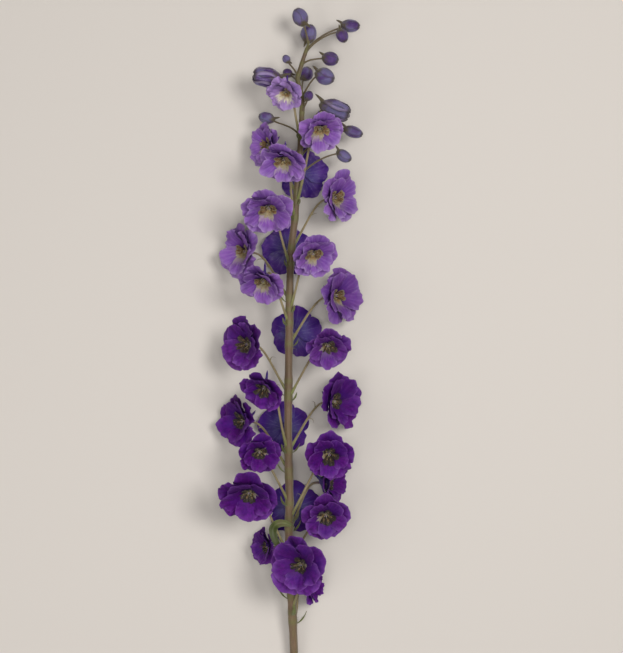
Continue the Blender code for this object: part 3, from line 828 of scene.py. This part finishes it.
def makeStudio():
    scene = bpy.context.scene
    scene.view_settings.view_transform = "Standard"
    lens = bpy.data.cameras.new("camera")
    lens.lens = studio["sensor"] * studio["distance"] / studio["tall"]
    camera = bpy.data.objects.new("camera", lens)
    camera.location = Vector((*studio["middle"], studio["flowerHeight"] + studio["distance"])) * mm
    scene.collection.objects.link(camera)
    scene.camera = camera
    for name, light in studio["lights"].items():
        addLight(name, *light)
    scene.world = bpy.data.worlds.new("studio")
    scene.world.use_nodes = True
    sky = scene.world.node_tree.nodes["Background"]
    feed(sky.inputs["Color"], studio["skyColour"])
    feed(sky.inputs["Strength"], studio["skyPower"])
    half = studio["floorHalf"] * mm
    mesh = bpy.data.meshes.new("floor")
    mesh.from_pydata([(-half, -half, 0), (half, -half, 0), (half, half, 0), (-half, half, 0)], [],
                     [(0, 1, 2, 3)])
    mesh.materials.append(makePlain("floorPaper", studio["floor"], studio["floor"], 5.0, 0.9, 0.0, 0.0))
    floor = bpy.data.objects.new("floor", mesh)
    scene.collection.objects.link(floor)


makeStudio()
print("studio ready")


# Florets: sepals in two whorls, the knob that they grow from, and the spur behind

floret = {
    "rings": 8, "spokes": 56, "thickness": 0.42, "count": 5,
    # the outer whorl and the inner one
    "root": ((2.2, 0.4), (0.9, 2.0)), "slopes": ((54.0, 2.0), (52.0, 20.0)), "share": (1.0, 0.84),
    "halfWidth": (0.47, 0.44), "twist": (8.0, 7.0), "stretch": ((0.95, 1.02), (0.88, 1.08)),
    "cup": (0.08, 0.12), "ruffle": (0.075, 0.07), "curl": ((-0.12, 0.05), (-0.08, 0.08)),
    "shoulder": 0.28, "keel": 0.5, "waves": (4, 7), "fineWaves": (10, 15),
    "jag": 0.06, "jagWaves": (5, 9), "point": (-0.04, 0.13), "crease": 0.4, "pleat": 0.22,
    "billows": ((2, 0.03), (3, 0.035), (5, 0.022), (7, 0.014)),  # waves round the bowl, share of its reach
    "rollSpread": 8.0, "turnSpread": 3.0, "slopeSpread": 3.0, "toneSpread": 0.08,
    "sizeRange": (0.94, 1.0), "widthRange": (0.94, 1.04), "seed": 4, "ruffleSeed": 21,
    "rest": 0.3, "restStep": 0.12,  # a pressed sepal's middle lies this high
    "knobHeights": (-1.6, -1.2, 0.0, 1.4, 2.6, 3.0), "knobRadii": (0.9, 1.7, 2.5, 3.3, 3.6, 0.3),
    "knobSides": 14, "spurSides": 10, "spurRidges": (5, 0.06),
    "spurRoot": (0.0, 1.5, 0.6), "spurTilt": 40.0, "spurLength": 11.5, "spurHook": 2.4,
    "spurRadii": (2.2, 1.9, 1.5, 1.2, 1.0, 0.95, 0.9, 0.55, 0.1),
}
whorlLabels = ("root", "slopes", "halfWidth", "twist", "stretch", "cup", "ruffle", "curl")


def floretMatrix(row):
    # origin at the knob, +Z the way that the floret faces, +Y toward the upper sepal
    nod = math.radians(row.nod)
    face = polar(row.facing) * math.cos(nod) - along * math.sin(nod)
    upper = squared(along, face)
    depth = petalArc(floret["root"][0], floret["slopes"][0], row.width / 2.0, 1.0)[1]
    origin = stemAt(row.y) + polar(row.azimuth) * row.reach - face * float(depth)
    turn = Matrix((upper.cross(face), upper, face)).transposed().to_4x4()
    return Matrix.Translation(origin) @ turn


petalForm = {
    # where a form begins and ends: from the petal's middle, along it, or from the floret's own middle
    "edge": (0.5, 1.0), "teeth": (0.65, 1.0), "ruffled": (-0.75, 0.1), "curled": (0.62, 1.0),
    "folded": (0.15, 0.5), "swollen": (0.25, 1.0),
    "waveShares": (0.6, 0.3), "frill": (0.45, 1.35), "frillSway": 0.5, "toothBase": 0.6, "tipWidth": 0.3,
    "fanFoot": 0.45, "cupPower": 2.2, "keelWidth": 0.16, "pleats": 9.0, "pleatSway": 1.2, "edgeThin": 0.82,
}


def petalSurface(shape, angle, scale, reach, halfWidth, draw):
    # the middle surface of one petal in the floret's own frame, its UV and its thickness
    x, y = discRings(shape["rings"], shape["spokes"])
    distance, turn = np.hypot(x, y), np.arctan2(x, y)
    phases = [draw.uniform(0.0, full) for _ in range(6)]
    waves, fine, teeth = (draw.randint(*shape[label]) for label in ("waves", "fineWaves", "jagWaves"))
    frill = draw.uniform(*petalForm["frill"])
    broad, small = petalForm["waveShares"]
    edge = smooth(distance, *petalForm["edge"]) * smooth(y, *petalForm["ruffled"])
    ruffle = broad * np.sin(waves * turn + phases[0]) + small * np.sin(fine * turn + phases[1])
    ruffle = ruffle * (1.0 + petalForm["frillSway"] * np.sin(turn + phases[5])) * frill
    tooth = petalForm["toothBase"] - np.abs(np.sin(teeth * turn / 2.0 + phases[2]))
    tooth = tooth + small * np.sin(fine * turn + phases[4])
    tip = draw.uniform(*shape["point"]) * np.exp(-(turn / petalForm["tipWidth"]) ** 2)
    grow = 1.0 + (shape["jag"] * tooth + tip) * smooth(distance, *petalForm["teeth"])
    across = x * grow * (1.0 + shape["shoulder"] * y) * halfWidth
    s = (y * grow + 1.0) / 2.0
    root = [part * scale for part in shape["root"]]
    radius, height = petalArc(root, shape["slopes"], reach, s)
    fan = x / (petalForm["fanFoot"] + (1.0 - petalForm["fanFoot"]) * (y + 1.0) / 2.0)
    height = height + across * math.tan(math.radians(shape["twist"]))
    height = height + shape["cup"] * reach * np.abs(x) ** petalForm["cupPower"]
    height = height + shape["ruffle"] * reach * edge * ruffle
    keel = shape["keel"] * np.exp(-(x / petalForm["keelWidth"]) ** 2)
    height = height - keel * np.sin(np.pi * np.clip(s, 0.0, 1.0))
    height = height + draw.uniform(*shape["curl"]) * reach * smooth(s, *petalForm["curled"])
    crease = np.sin(3.0 * x + 2.0 * y + phases[3]) * np.sin(4.0 * y - 2.0 * x + phases[4])
    sway = petalForm["pleatSway"] * np.sin(3.0 * y + phases[0])
    pleat = np.sin(petalForm["pleats"] * fan + sway + phases[5])
    fold = shape["crease"] * crease + shape["pleat"] * pleat
    height = height + fold * smooth(s, *petalForm["folded"])
    out = math.radians(angle)
    right = radius * math.sin(out) + across * math.cos(out)
    upward = radius * math.cos(out) - across * math.sin(out)
    swell = smooth(np.hypot(right, upward) / reach, *petalForm["swollen"]) * reach
    for count, size, phase in shape["billows"]:
        height = height + swell * size * np.sin(count * np.arctan2(right, upward) + phase)
    thickness = shape["thickness"] * (1.0 - petalForm["edgeThin"] * distance ** 4)
    uv = sheetUv((x + 1.0) / 2.0, (y + 1.0) / 2.0)
    return np.stack((right, upward, height), axis=2), uv, thickness


def addPetal(store, place, surface, low, **marks):
    points, uv, thickness = surface
    world = placed(place, points)
    world[..., 2] = np.maximum(world[..., 2], low)
    solid, faces, side = thickPetal(world, thickness)
    solid[:, 2] = np.maximum(solid[:, 2], 0.0)
    addPart(store, solid, faces, uv, side=side, **marks)


def addWhorl(store, place, draws, whorl, roll, width, billows, **marks):
    sizes, ruffles = draws
    shape = dict(floret, billows=billows, **{label: floret[label][whorl] for label in whorlLabels})
    first, last = shape["slopes"]
    reach = width / 2.0 * floret["share"][whorl]
    for index in range(floret["count"]):
        angle = roll + whorl * 180.0 / floret["count"] + 360.0 * index / floret["count"]
        angle += spread(sizes, floret["turnSpread"])
        shape["slopes"] = (first, last + spread(sizes, floret["slopeSpread"]))
        size = reach * sizes.uniform(*floret["sizeRange"]) * ruffles.uniform(*shape["stretch"])
        halfWidth = reach * shape["halfWidth"] * sizes.uniform(*floret["widthRange"])
        surface = petalSurface(shape, angle, 1.0, size, halfWidth, ruffles)
        lower = 0.5 - 0.5 * math.cos(math.radians(angle))
        rest = floret["rest"] + floret["restStep"] * (index + whorl * floret["count"])
        addPetal(store, place, surface, rest, lower=lower, shift=spread(ruffles, 1.0), **marks)


def addKnobAndSpur(store, place, tone):
    marks = {"side": 1.0, "tone": tone, "lower": 0.5, "shift": 0.0, "young": 0.0}
    path = [(0.0, 0.0, height) for height in floret["knobHeights"]]
    addTube(store, place, path, floret["knobRadii"], floret["knobSides"], **marks)
    tilt = math.radians(floret["spurTilt"])
    aim = Vector((0.0, math.sin(tilt), -math.cos(tilt)))
    hook = Vector((0.0, math.cos(tilt), math.sin(tilt)))
    radii = floret["spurRadii"]
    path = []
    for step in range(len(radii)):
        s = step / (len(radii) - 1)
        path.append(Vector(floret["spurRoot"]) + aim * floret["spurLength"] * s
                    + hook * floret["spurHook"] * (s * s - s))
    addTube(store, place, path, radii, floret["spurSides"], *floret["spurRidges"], **marks)


def makeFlorets():
    sizes, ruffles = random.Random(floret["seed"]), random.Random(floret["ruffleSeed"])
    for name, row in zip(floretNames, floretRows):
        place = floretMatrix(row)
        tone = min(1.0, max(0.0, toneAt(row.y) + spread(ruffles, floret["toneSpread"])))
        roll = spread(sizes, floret["rollSpread"])
        billows = [(count, size, ruffles.uniform(0.0, full)) for count, size in floret["billows"]]
        store = newStore()
        addKnobAndSpur(store, place, tone)
        for whorl in range(2):
            addWhorl(store, place, (sizes, ruffles), whorl, roll, row.width, billows,
                     tone=tone, young=youngAt(row.y))
        addPiece(name + "_sepals", meshFrom(name + "_sepals", store), "petal", [name], skins["sepal"])


makeFlorets()
print("florets made:", len(floretRows))


# Eyes: small bearded petals, a pale fan below them, stamens and three carpels

eye = {
    "fullWidth": 44.0, "newest": 525.0, "mirrorFrom": 20.0, "seed": 77,
    # three kinds: of the lavender florets, the purple ones and the newest at the top
    "bees": ((-58, 58, -97, 97), (-25, 42, -98, -158, 148), (30, 66)),
    "beeReach": 8.3, "beeHalf": (3.0, 2.6, 2.6), "beardHairs": (60, 14, 40),
    "fans": ((146, 180, 214), (72, 100, 126), (130, 172, 214, 254)),
    "fanReach": (11.4, 10.2, 14.5), "fanHalf": 3.7, "fanHairs": (20, 0, 8), "fanHairSize": 0.8,
    "bee": {"root": (1.2, 2.9), "slopes": (60.0, 24.0), "rings": 5, "spokes": 28, "thickness": 0.35,
            "cup": 0.26, "ruffle": 0.08, "waves": (3, 4), "fineWaves": (6, 8), "jag": 0.12,
            "jagWaves": (4, 6), "curl": (-0.1, 0.16), "keel": 0.3, "crease": 0.2, "shoulder": 0.45,
            "twist": 6.0, "pleat": 0.12, "point": (-0.12, 0.05), "billows": ()},
    "fan": {"root": (1.2, 2.7), "slopes": (55.0, 20.0), "rings": 6, "spokes": 36, "thickness": 0.35,
            "cup": 0.05, "ruffle": 0.05, "waves": (4, 6), "fineWaves": (7, 10), "jag": 0.1,
            "jagWaves": (5, 8), "curl": (-0.06, 0.04), "keel": 0.15, "crease": 0.2, "shoulder": 0.35,
            "twist": 5.0, "pleat": 0.15, "point": (-0.12, 0.05), "billows": ()},
    "beeSpread": 8.0, "beeSizes": (0.84, 1.1), "beeWidths": (0.85, 1.1), "fanSpread": 6.0,
    "fanSizes": (0.9, 1.05),
    "threads": 15, "threadFoot": (0.3, 2.0), "threadHeight": 2.7, "threadSpread": (0.15, 0.75),
    "threadStray": 0.3, "threadTurn": 3.236, "threadSag": 0.18, "threadSizes": (0.7, 1.05),
    "beardReach": 8.2, "beardLean": 0.6, "beardSizes": (0.6, 1.1), "beardLow": 1.2,
    "stamenThreads": {"Length": 5.0, "Base": 0.22, "Tip": 0.1, "Sides": 5},
    "anthers": {"Base": 0.4, "Sides": 7},
    "beards": {"Length": 1.8, "Base": 0.08, "Tip": 0.02, "Sides": 3},
    "carpelTurns": (90, 210, 330), "carpelRadii": (0.5, 0.62, 0.55, 0.34, 0.12),
    "carpelFoot": 2.5, "carpelLength": 4.4,
}


def addCarpels(store, place, scale):
    radii = [radius * scale for radius in eye["carpelRadii"]]
    for turn in eye["carpelTurns"]:
        out = Vector((math.cos(math.radians(turn)), math.sin(math.radians(turn)), 0.0))
        path = []
        for s in np.linspace(0.0, 1.0, len(radii)):
            height = eye["carpelFoot"] + eye["carpelLength"] * s
            path.append((out * (0.5 + 0.5 * s * s) + up * height) * scale)
        addTube(store, place, path, radii, 8, side=0.0, tone=0.0, shade=0.0, young=0.0)


def growThreads(threads, tips, place, scale, draw):
    # filaments stand round the carpels and spread outward; an anther tops each
    turn = place.to_3x3()
    for index in range(eye["threads"]):
        angle = full * (index + spread(draw, eye["threadStray"])) / eye["threads"] * eye["threadTurn"]
        foot = draw.uniform(*eye["threadFoot"])
        out = Vector((math.cos(angle), math.sin(angle), 0.0))
        aim = (up + out * draw.uniform(*eye["threadSpread"]) - along * eye["threadSag"]).normalized()
        size = scale * draw.uniform(*eye["threadSizes"])
        base = (out * foot + up * eye["threadHeight"]) * scale
        tip = base + aim * eye["stamenThreads"]["Length"] * size
        threads.append((place @ base, turn @ aim, size))
        tips.append((place @ tip, turn @ aim, size))


def growBeard(beard, surface, place, draw, scale, count):
    # golden hairs on the upper face of a small petal
    points = surface[0]
    turn = place.to_3x3()
    lowest = eye["beards"]["Length"] * eye["beardLow"]
    for _ in range(count):
        spot = Vector(points[draw.randrange(points.shape[0] - 2), draw.randrange(points.shape[1])])
        if spot.xy.length > eye["beardReach"] * scale or (place @ spot).z < lowest:
            continue
        lean = Vector((spread(draw, eye["beardLean"]), spread(draw, eye["beardLean"]), 1.0)).normalized()
        beard.append((place @ spot, turn @ lean, scale * draw.uniform(*eye["beardSizes"])))


def makeEyes():
    draw = random.Random(eye["seed"])
    threads, tips, beard = [], [], []
    for name, row in zip(eyeNames, floretRows):
        place = floretMatrix(row)
        tone, young = toneAt(row.y), youngAt(row.y)
        scale = min(1.0, row.width / eye["fullWidth"])
        kind = 2 if row.y > eye["newest"] else round(tone)
        mirror = -1.0 if kind == 1 and row.azimuth > eye["mirrorFrom"] else 1.0
        store = newStore()
        for angle in eye["bees"][kind]:
            turned = angle * mirror + spread(draw, eye["beeSpread"])
            reach = eye["beeReach"] * scale * draw.uniform(*eye["beeSizes"])
            half = eye["beeHalf"][kind] * scale * draw.uniform(*eye["beeWidths"])
            surface = petalSurface(eye["bee"], turned, scale, reach, half, draw)
            addPetal(store, place, surface, floret["rest"], tone=tone, shade=1.0, young=0.0)
            growBeard(beard, surface, place, draw, scale, eye["beardHairs"][kind])
        for angle in eye["fans"][kind]:
            reach = eye["fanReach"][kind] * scale * draw.uniform(*eye["fanSizes"])
            turned = angle * mirror + spread(draw, eye["fanSpread"])
            surface = petalSurface(eye["fan"], turned, scale, reach, eye["fanHalf"] * scale, draw)
            addPetal(store, place, surface, floret["rest"], tone=tone, shade=0.0, young=young)
            growBeard(beard, surface, place, draw, scale * eye["fanHairSize"], eye["fanHairs"][kind])
        addCarpels(store, place, scale)
        growThreads(threads, tips, place, scale, draw)
        addPiece(name + "_petals", meshFrom(name + "_petals", store), "eye", [name], skins["eye"])
    for name, rows, tree, skin in (("stamenThreads", threads, threadTree, "thread"),
                                   ("anthers", tips, knobTree, "anther"),
                                   ("beards", beard, threadTree, "beard")):
        points, aims, sizes = zip(*rows)
        source = wireMesh(points, [], aim=aims, size=sizes)
        growPiece(name, source, tree, "eye", eyeNames, skin, **eye[name])


makeEyes()
print("eyes made:", len(floretRows))


# Stem and stalks

stem = {
    "bark": {"Spacing": 2.6, "Sides": 28, "Ridges": 7.0, "Depth": 0.035},
    "hairs": {"Density": 420000.0, "Length": 0.75, "Width": 0.04, "Lean": 0.6, "Seed": 3},
    "step": 2.0, "nodeSwell": 0.16, "nodeLength": 5.0, "tipTaper": 0.7, "tipLength": 9.0,
    "cutDepth": 4.0, "cutWall": 1.2, "sleeve": 5.0,
}
stalk = {
    "tubes": {"Spacing": 1.6, "Sides": 10, "Ridges": 3.0, "Depth": 0.06},
    "hairs": {"Density": 300000.0, "Length": 0.5, "Width": 0.03, "Lean": 0.7, "Seed": 8},
    "radius": 0.85, "segments": 10, "angle": 34.0, "straight": 2.0, "end": (0.0, -1.0, -1.8),
    "overlap": 0.5, "pulls": (0.4, 0.25), "flare": 1.25, "footFlare": 1.9, "footLength": 0.12,
    "topFlare": 0.35, "topLength": 0.1,
    "budShare": 0.78, "budStart": 0.3, "budPull": 0.2, "budSeat": 0.22, "budLift": 0.12,
}


def stalkRadii(count, radius):
    radii = []
    for step in range(count):
        s = step / (count - 1)
        foot = (stalk["footFlare"] - stalk["flare"]) * math.exp(-(s / stalk["footLength"]) ** 2)
        top = stalk["topFlare"] * math.exp(-((1.0 - s) / stalk["topLength"]) ** 2)
        radii.append(radius * (stalk["flare"] + (1.0 - stalk["flare"]) * s + foot + top))
    return radii


def curvePoints(*handles):
    count = stalk["segments"]
    return [bezier(*handles, step / count) for step in range(count + 1)]


def floretStalk(row):
    place = floretMatrix(row)
    face = place.to_3x3() @ up
    end = place @ Vector(stalk["end"])
    start = stemAt(row.y - row.rise)
    turnEnd = end - face * stalk["straight"]
    span = (turnEnd - start).length
    angle = math.radians(stalk["angle"])
    leave = along * math.cos(angle) + polar(row.azimuth) * math.sin(angle)
    nearStart = start + leave * span * stalk["pulls"][0]
    nearEnd = turnEnd - face * span * stalk["pulls"][1]
    points = curvePoints(start, nearStart, nearEnd, turnEnd) + [end + face * stalk["overlap"]]
    return {"points": points, "radii": stalkRadii(len(points), stalk["radius"])}


def budFrame(row):
    turn = math.radians(row.heading)
    nose = Vector((math.cos(turn), math.sin(turn), stalk["budLift"])).normalized()
    return Vector((row.x, row.y, stemAt(row.y).z + row.height)), nose


def budStalk(row):
    middle, nose = budFrame(row)
    start = stemAt(row.foot)
    end = middle - nose * row.length * stalk["budSeat"]
    pull = (end - start).length * stalk["budPull"]
    nearStart = start + (end - start) * stalk["budStart"] + along * pull
    nearEnd = end - nose * pull - along * pull / 2.0
    points = curvePoints(start, nearStart, nearEnd, end)
    radii = stalkRadii(len(points), stalk["radius"] * stalk["budShare"])
    return {"points": points, "radii": radii, "axil": [1.0] * len(points)}


def stemPath():
    # the route sampled closely, with a swelling where each stalk leaves
    feet = [row.y - row.rise for row in floretRows] + [row.foot for row in budRows]
    first, last = stemRoute[0, 1] + stem["sleeve"], stemRoute[-1, 1]
    path = {"points": [], "radii": [], "rise": [], "axil": []}
    for y in np.linspace(first, last, int((last - first) / stem["step"]) + 1):
        near = max(math.exp(-((y - foot - 1.0) / stem["nodeLength"]) ** 2) for foot in feet)
        tip = 1.0 - stem["tipTaper"] * float(smooth(y, last - stem["tipLength"], last))
        path["points"].append(stemAt(y))
        path["radii"].append(stemRadius(y) * (1.0 + stem["nodeSwell"] * near) * tip)
        path["rise"].append(y / last)
        path["axil"].append(near)
    return path


def makeStem():
    stalks = [floretStalk(row) for row in floretRows] + [budStalk(row) for row in budRows]
    for name, hairs, paths, look, tubes in (("stemBark", "stemHairs", [stemPath()], stem, "bark"),
                                            ("stalks", "stalkHairs", stalks, stalk, "tubes")):
        skin = "stem" if look is stem else "stalk"
        grown = growPiece(name, pathMesh(paths), tubeTree, "stem", ["stem"], skin, **look[tubes])
        growPiece(hairs, grown.data.copy(), fuzzTree, "stem", ["stem"], "hair", **look["hairs"])


def makeCutEnd():
    # a hollow end: the wall of the stem round a short bore, closed inside
    foot, sides = stemAt(0.0), stem["bark"]["Sides"]
    ahead = (stemAt(stem["sleeve"]) - foot).normalized()
    radius, deep, sleeve = stemRadius(0.0), stem["cutDepth"], stem["sleeve"]
    bore = radius - stem["cutWall"]
    rings = [(deep, 0.02), (deep, bore * 0.9), (0.3, bore), (0.0, bore + 0.15), (0.0, radius - 0.3),
             (0.3, radius), (sleeve * 0.5, radius * 1.01), (sleeve + 1.5, radius * 1.005),
             (sleeve + 1.5, 0.02)]
    points = []
    for depth, size in rings:
        points += circle(foot + ahead * depth, ahead, squared(east, ahead), size, sides)
    points = np.array([tuple(point) for point in points])
    store = newStore()
    addPart(store, points, tubeFaces(len(rings), sides), np.zeros((len(points), 2)), rise=0.0, axil=0.0)
    mesh = meshFrom("cutEnd", store)
    for polygon in mesh.polygons:
        polygon.material_index = 1 if polygon.index < 4 * sides else 0
    addPiece("cutEnd", mesh, "stem", ["stem"], skins["stem"], skins["pith"])


makeStem()
makeCutEnd()
print("stem and stalks made")


# Bracts under the stalks, and the little hooked bractlets on them

bract = {
    "along": (90.0, 500.0), "lengths": (15.0, 6.0), "widths": (3.2, 2.2), "thickness": 0.45,
    "drop": 2.0, "sink": 1.0, "angles": (60.0, 40.0, 22.0), "rows": 16, "columns": 6, "fold": 0.5,
    "ripple": (0.12, 9.0, 3.0), "edgeThin": 0.55, "foldShadeFrom": (0.42, 0.6),
    "looseY": 164.0, "looseAzimuth": 38.0, "looseWidth": 6.4, "widen": (-0.35, 0.6),
    "looseRoute": ((3.4, 0.0, -3.0), (-4.0, 10.0, 11.0), (-27.0, 10.0, 24.0), (-6.8, -17.5, 17.0)),
    "hookLengths": (6.0, 10.0), "hookRadius": 0.36, "hookPlaces": (0.5, 0.66), "hookSteps": 7,
    "hookTaper": 0.8, "hookBend": (0.45, 0.5), "hookOut": 0.75, "hookAhead": (-0.15, 0.35),
    "hooks": {"Spacing": 0.8, "Sides": 6, "Ridges": 2.0, "Depth": 0.35},
    "seed": 12,
}


def addLeaf(store, route, face, halfWidth, widen, folded=0.0):
    # a narrow folded blade along a curve with four handles
    s, u = np.meshgrid(np.linspace(0.0, 1.0, bract["rows"] + 1),
                       np.linspace(-1.0, 1.0, bract["columns"] + 1), indexing="ij")
    middle = bezier(*[np.array(tuple(point)) for point in route], s[..., None])
    wide = halfWidth * np.sqrt(np.sin(np.pi * np.clip(s * 0.97 + 0.015, 0.0, 1.0)))
    wide = wide * (1.0 + widen * (s - 0.4))
    way = np.gradient(middle, axis=0)
    way /= np.linalg.norm(way, axis=2, keepdims=True)
    side = np.cross(way, np.array(tuple(face)))
    side /= np.linalg.norm(side, axis=2, keepdims=True)
    height, lengthwise, crosswise = bract["ripple"]
    lift = np.abs(u) ** 1.5 * wide * bract["fold"] + height * np.sin(lengthwise * s + crosswise * u)
    points = middle + side * (u * wide)[..., None] + np.cross(side, way) * lift[..., None]
    thickness = bract["thickness"] * (1.0 - bract["edgeThin"] * np.abs(u) ** 3)
    solid, faces, face = thickBlade(points, thickness)
    # shade: painted shade on the downturned part, for the loose bract only
    shade = np.tile((folded * smooth(s, *bract["foldShadeFrom"])).ravel(), 2)
    addPart(store, solid, faces, sheetUv((u + 1.0) / 2.0, s), side=face, shade=shade)


def bractRoot(y, azimuth, drop=0.0):
    return stemAt(y - drop) + polar(azimuth) * (stemRadius(y) - bract["sink"])


def makeBracts():
    store = newStore()
    for row in floretRows:
        y = row.y - row.rise
        length = np.interp(y, bract["along"], bract["lengths"])
        halfWidth = np.interp(y, bract["along"], bract["widths"]) / 2.0
        out = polar(row.azimuth)
        route = [bractRoot(y, row.azimuth, bract["drop"])]
        for angle in bract["angles"]:
            slope = math.radians(angle)
            route.append(route[-1] + (along * math.cos(slope) + out * math.sin(slope)) * length / 3.0)
        addLeaf(store, route, out, halfWidth, bract["widen"][0])
    root = bractRoot(bract["looseY"], bract["looseAzimuth"])
    route = [root + Vector(step) for step in bract["looseRoute"]]
    addLeaf(store, route, up, bract["looseWidth"] / 2.0, bract["widen"][1], 1.0)
    addPiece("bracts", meshFrom("bracts", store), "stem", ["stem"], skins["bract"])


def makeHooks():
    draw = random.Random(bract["seed"])
    steps = np.linspace(0, 1, bract["hookSteps"])
    radii = [bract["hookRadius"] * (1.0 - bract["hookTaper"] * t) for t in steps]
    paths = []
    for row in floretRows:
        points = floretStalk(row)["points"]
        for share in bract["hookPlaces"]:
            step = int(share * (len(points) - 1))
            foot = points[step]
            ahead = (points[step + 1] - points[step - 1]).normalized()
            side = ahead.cross(Vector([spread(draw, 1) for _ in range(3)])).normalized()
            length = draw.uniform(*bract["hookLengths"])
            out, forward = bract["hookBend"]
            reach = foot + side * length * out + ahead * length * forward
            end = foot + side * length * bract["hookOut"]
            end = end + ahead * length * draw.uniform(*bract["hookAhead"])
            hook = [foot * (1 - t) ** 2 + reach * 2 * t * (1 - t) + end * t * t for t in steps]
            paths.append({"points": hook, "radii": radii})
    growPiece("bractlets", pathMesh(paths), tubeTree, "stem", ["stem"], "stalk", **bract["hooks"])


makeBracts()
makeHooks()
print("bracts made")


# Buds: five sepals wrapped round a core, with a spur behind

bud = {
    "rings": 7, "spokes": 26, "thickness": 0.4, "sepals": 5, "taper": 0.04, "wrap": 58.0, "lift": 0.06,
    "lean": 0.25, "footThin": 0.2, "liftSide": 0.8, "liftNose": 0.6, "edgeThin": 0.6, "open": 0.3,
    "leastPleat": 0.03, "turnSpread": 6.0, "lengthSpread": 0.02, "hueSpread": 0.35, "plainStripe": 0.1,
    "coreShare": 0.9, "coreEnds": (-0.98, 0.94), "coreRings": 9, "coreSides": 12,
    "tail": 0.3, "spurLength": 0.5, "spurTilt": 30.0, "spurLift": 0.4, "spurShare": 0.2, "spurTip": 0.5,
    "spurSteps": 7, "spurBow": 0.12, "spurSides": 9, "spurRidges": (4, 0.08), "spurUv": (0.25, 0.0),
    "spurThinnest": 0.12, "spurEnd": 0.15,
    "hairs": {"Density": 500000.0, "Length": 0.4, "Width": 0.025, "Lean": 0.6, "Seed": 5},
    "seed": 31,
}


def addBudSepals(store, place, length, width, pleat, draw, **marks):
    x, y = discRings(bud["rings"], bud["spokes"])
    first = draw.uniform(0.0, 360.0)
    for index in range(bud["sepals"]):
        turn = first + 360.0 * index / bud["sepals"] + spread(draw, bud["turnSpread"])
        share = np.clip(y, -0.99, 0.99)
        around = np.radians(turn + bud["wrap"] * x * (1.0 + bud["lean"] * share))
        body = np.sqrt(1.0 - share ** 2) * (1.0 - bud["taper"] * share)
        body = body * (1.0 - bud["footThin"] * smooth(-share, 0.2, 1.0))
        lift = bud["lift"] * (1.0 + bud["liftSide"] * x)
        lift = lift * (1.0 - bud["liftNose"] * smooth(share, 0.5, 1.0))
        flare = (bud["open"] if pleat else 0.0) * smooth(share, 0.2, 1.0) * (1.0 + 0.4 * np.sin(3.0 * x))
        fold = (pleat + bud["leastPleat"]) * np.cos(2.5 * np.pi * x) * smooth(share, -0.8, 0.0)
        out = width / 2.0 * (body * (1.0 + fold) + lift + flare)
        tip = length / 2.0 * share * (1.0 + bud["lengthSpread"] * spread(draw, 1.0))
        points = np.stack((out * np.cos(around), out * np.sin(around), tip), axis=2)
        uv = sheetUv((x + 1.0) / 2.0, (y + 1.0) / 2.0)
        thickness = bud["thickness"] * (1.0 - bud["edgeThin"] * np.hypot(x, y) ** 4)
        addPetal(store, place, (points, uv, thickness), 0.0, **marks)


def addBud(store, row, draw):
    middle, nose = budFrame(row)
    length, width, pleat = row.length, row.width, row.pleat
    place = Matrix.Translation(middle) @ nose.to_track_quat("Z", "Y").to_matrix().to_4x4()
    marks = {"stripe": 1.0 if pleat else bud["plainStripe"], "shift": spread(draw, bud["hueSpread"])}
    heights = np.linspace(*bud["coreEnds"], bud["coreRings"])
    radius = width / 2.0 * bud["coreShare"]
    radii = [radius * math.sqrt(1 - h * h) * (1 - bud["taper"] * h) for h in heights]
    core = [(0.0, 0.0, h * length / 2.0) for h in heights]
    addTube(store, place, core, radii, bud["coreSides"], side=0.0, **marks)
    addBudSepals(store, place, length, width, pleat, draw, **marks)
    tail = middle - nose * length * bud["tail"]
    tilt = math.radians(bud["spurTilt"])
    rising = (along - nose * nose.dot(along) + up * bud["spurLift"]).normalized()
    aim = rising * math.sin(tilt) - nose * math.cos(tilt)
    steps = bud["spurSteps"]
    path, radii = [], []
    for step in range(steps + 1):
        path.append(tail + aim * length * bud["spurLength"] * step / steps
                    + nose * width * bud["spurBow"] * math.sin(math.pi * step / steps))
        radius = width * bud["spurShare"] * (1 - step / steps) + bud["spurTip"] * step / steps * 1.1
        radii.append(max(bud["spurThinnest"], radius) if step < steps else bud["spurEnd"])
    addTube(store, Matrix.Identity(4), path, radii, bud["spurSides"], *bud["spurRidges"], bud["spurUv"],
            side=0.0, **marks)


def makeBuds():
    draw = random.Random(bud["seed"])
    store = newStore()
    for row in budRows:
        addBud(store, row, draw)
    buds = addPiece("buds", meshFrom("buds", store), "petal", ["stem"], skins["bud"])
    growPiece("budHairs", buds.data.copy(), fuzzTree, "petal", ["stem"], "hair", **bud["hairs"])


makeBuds()
print("buds made:", len(budRows))
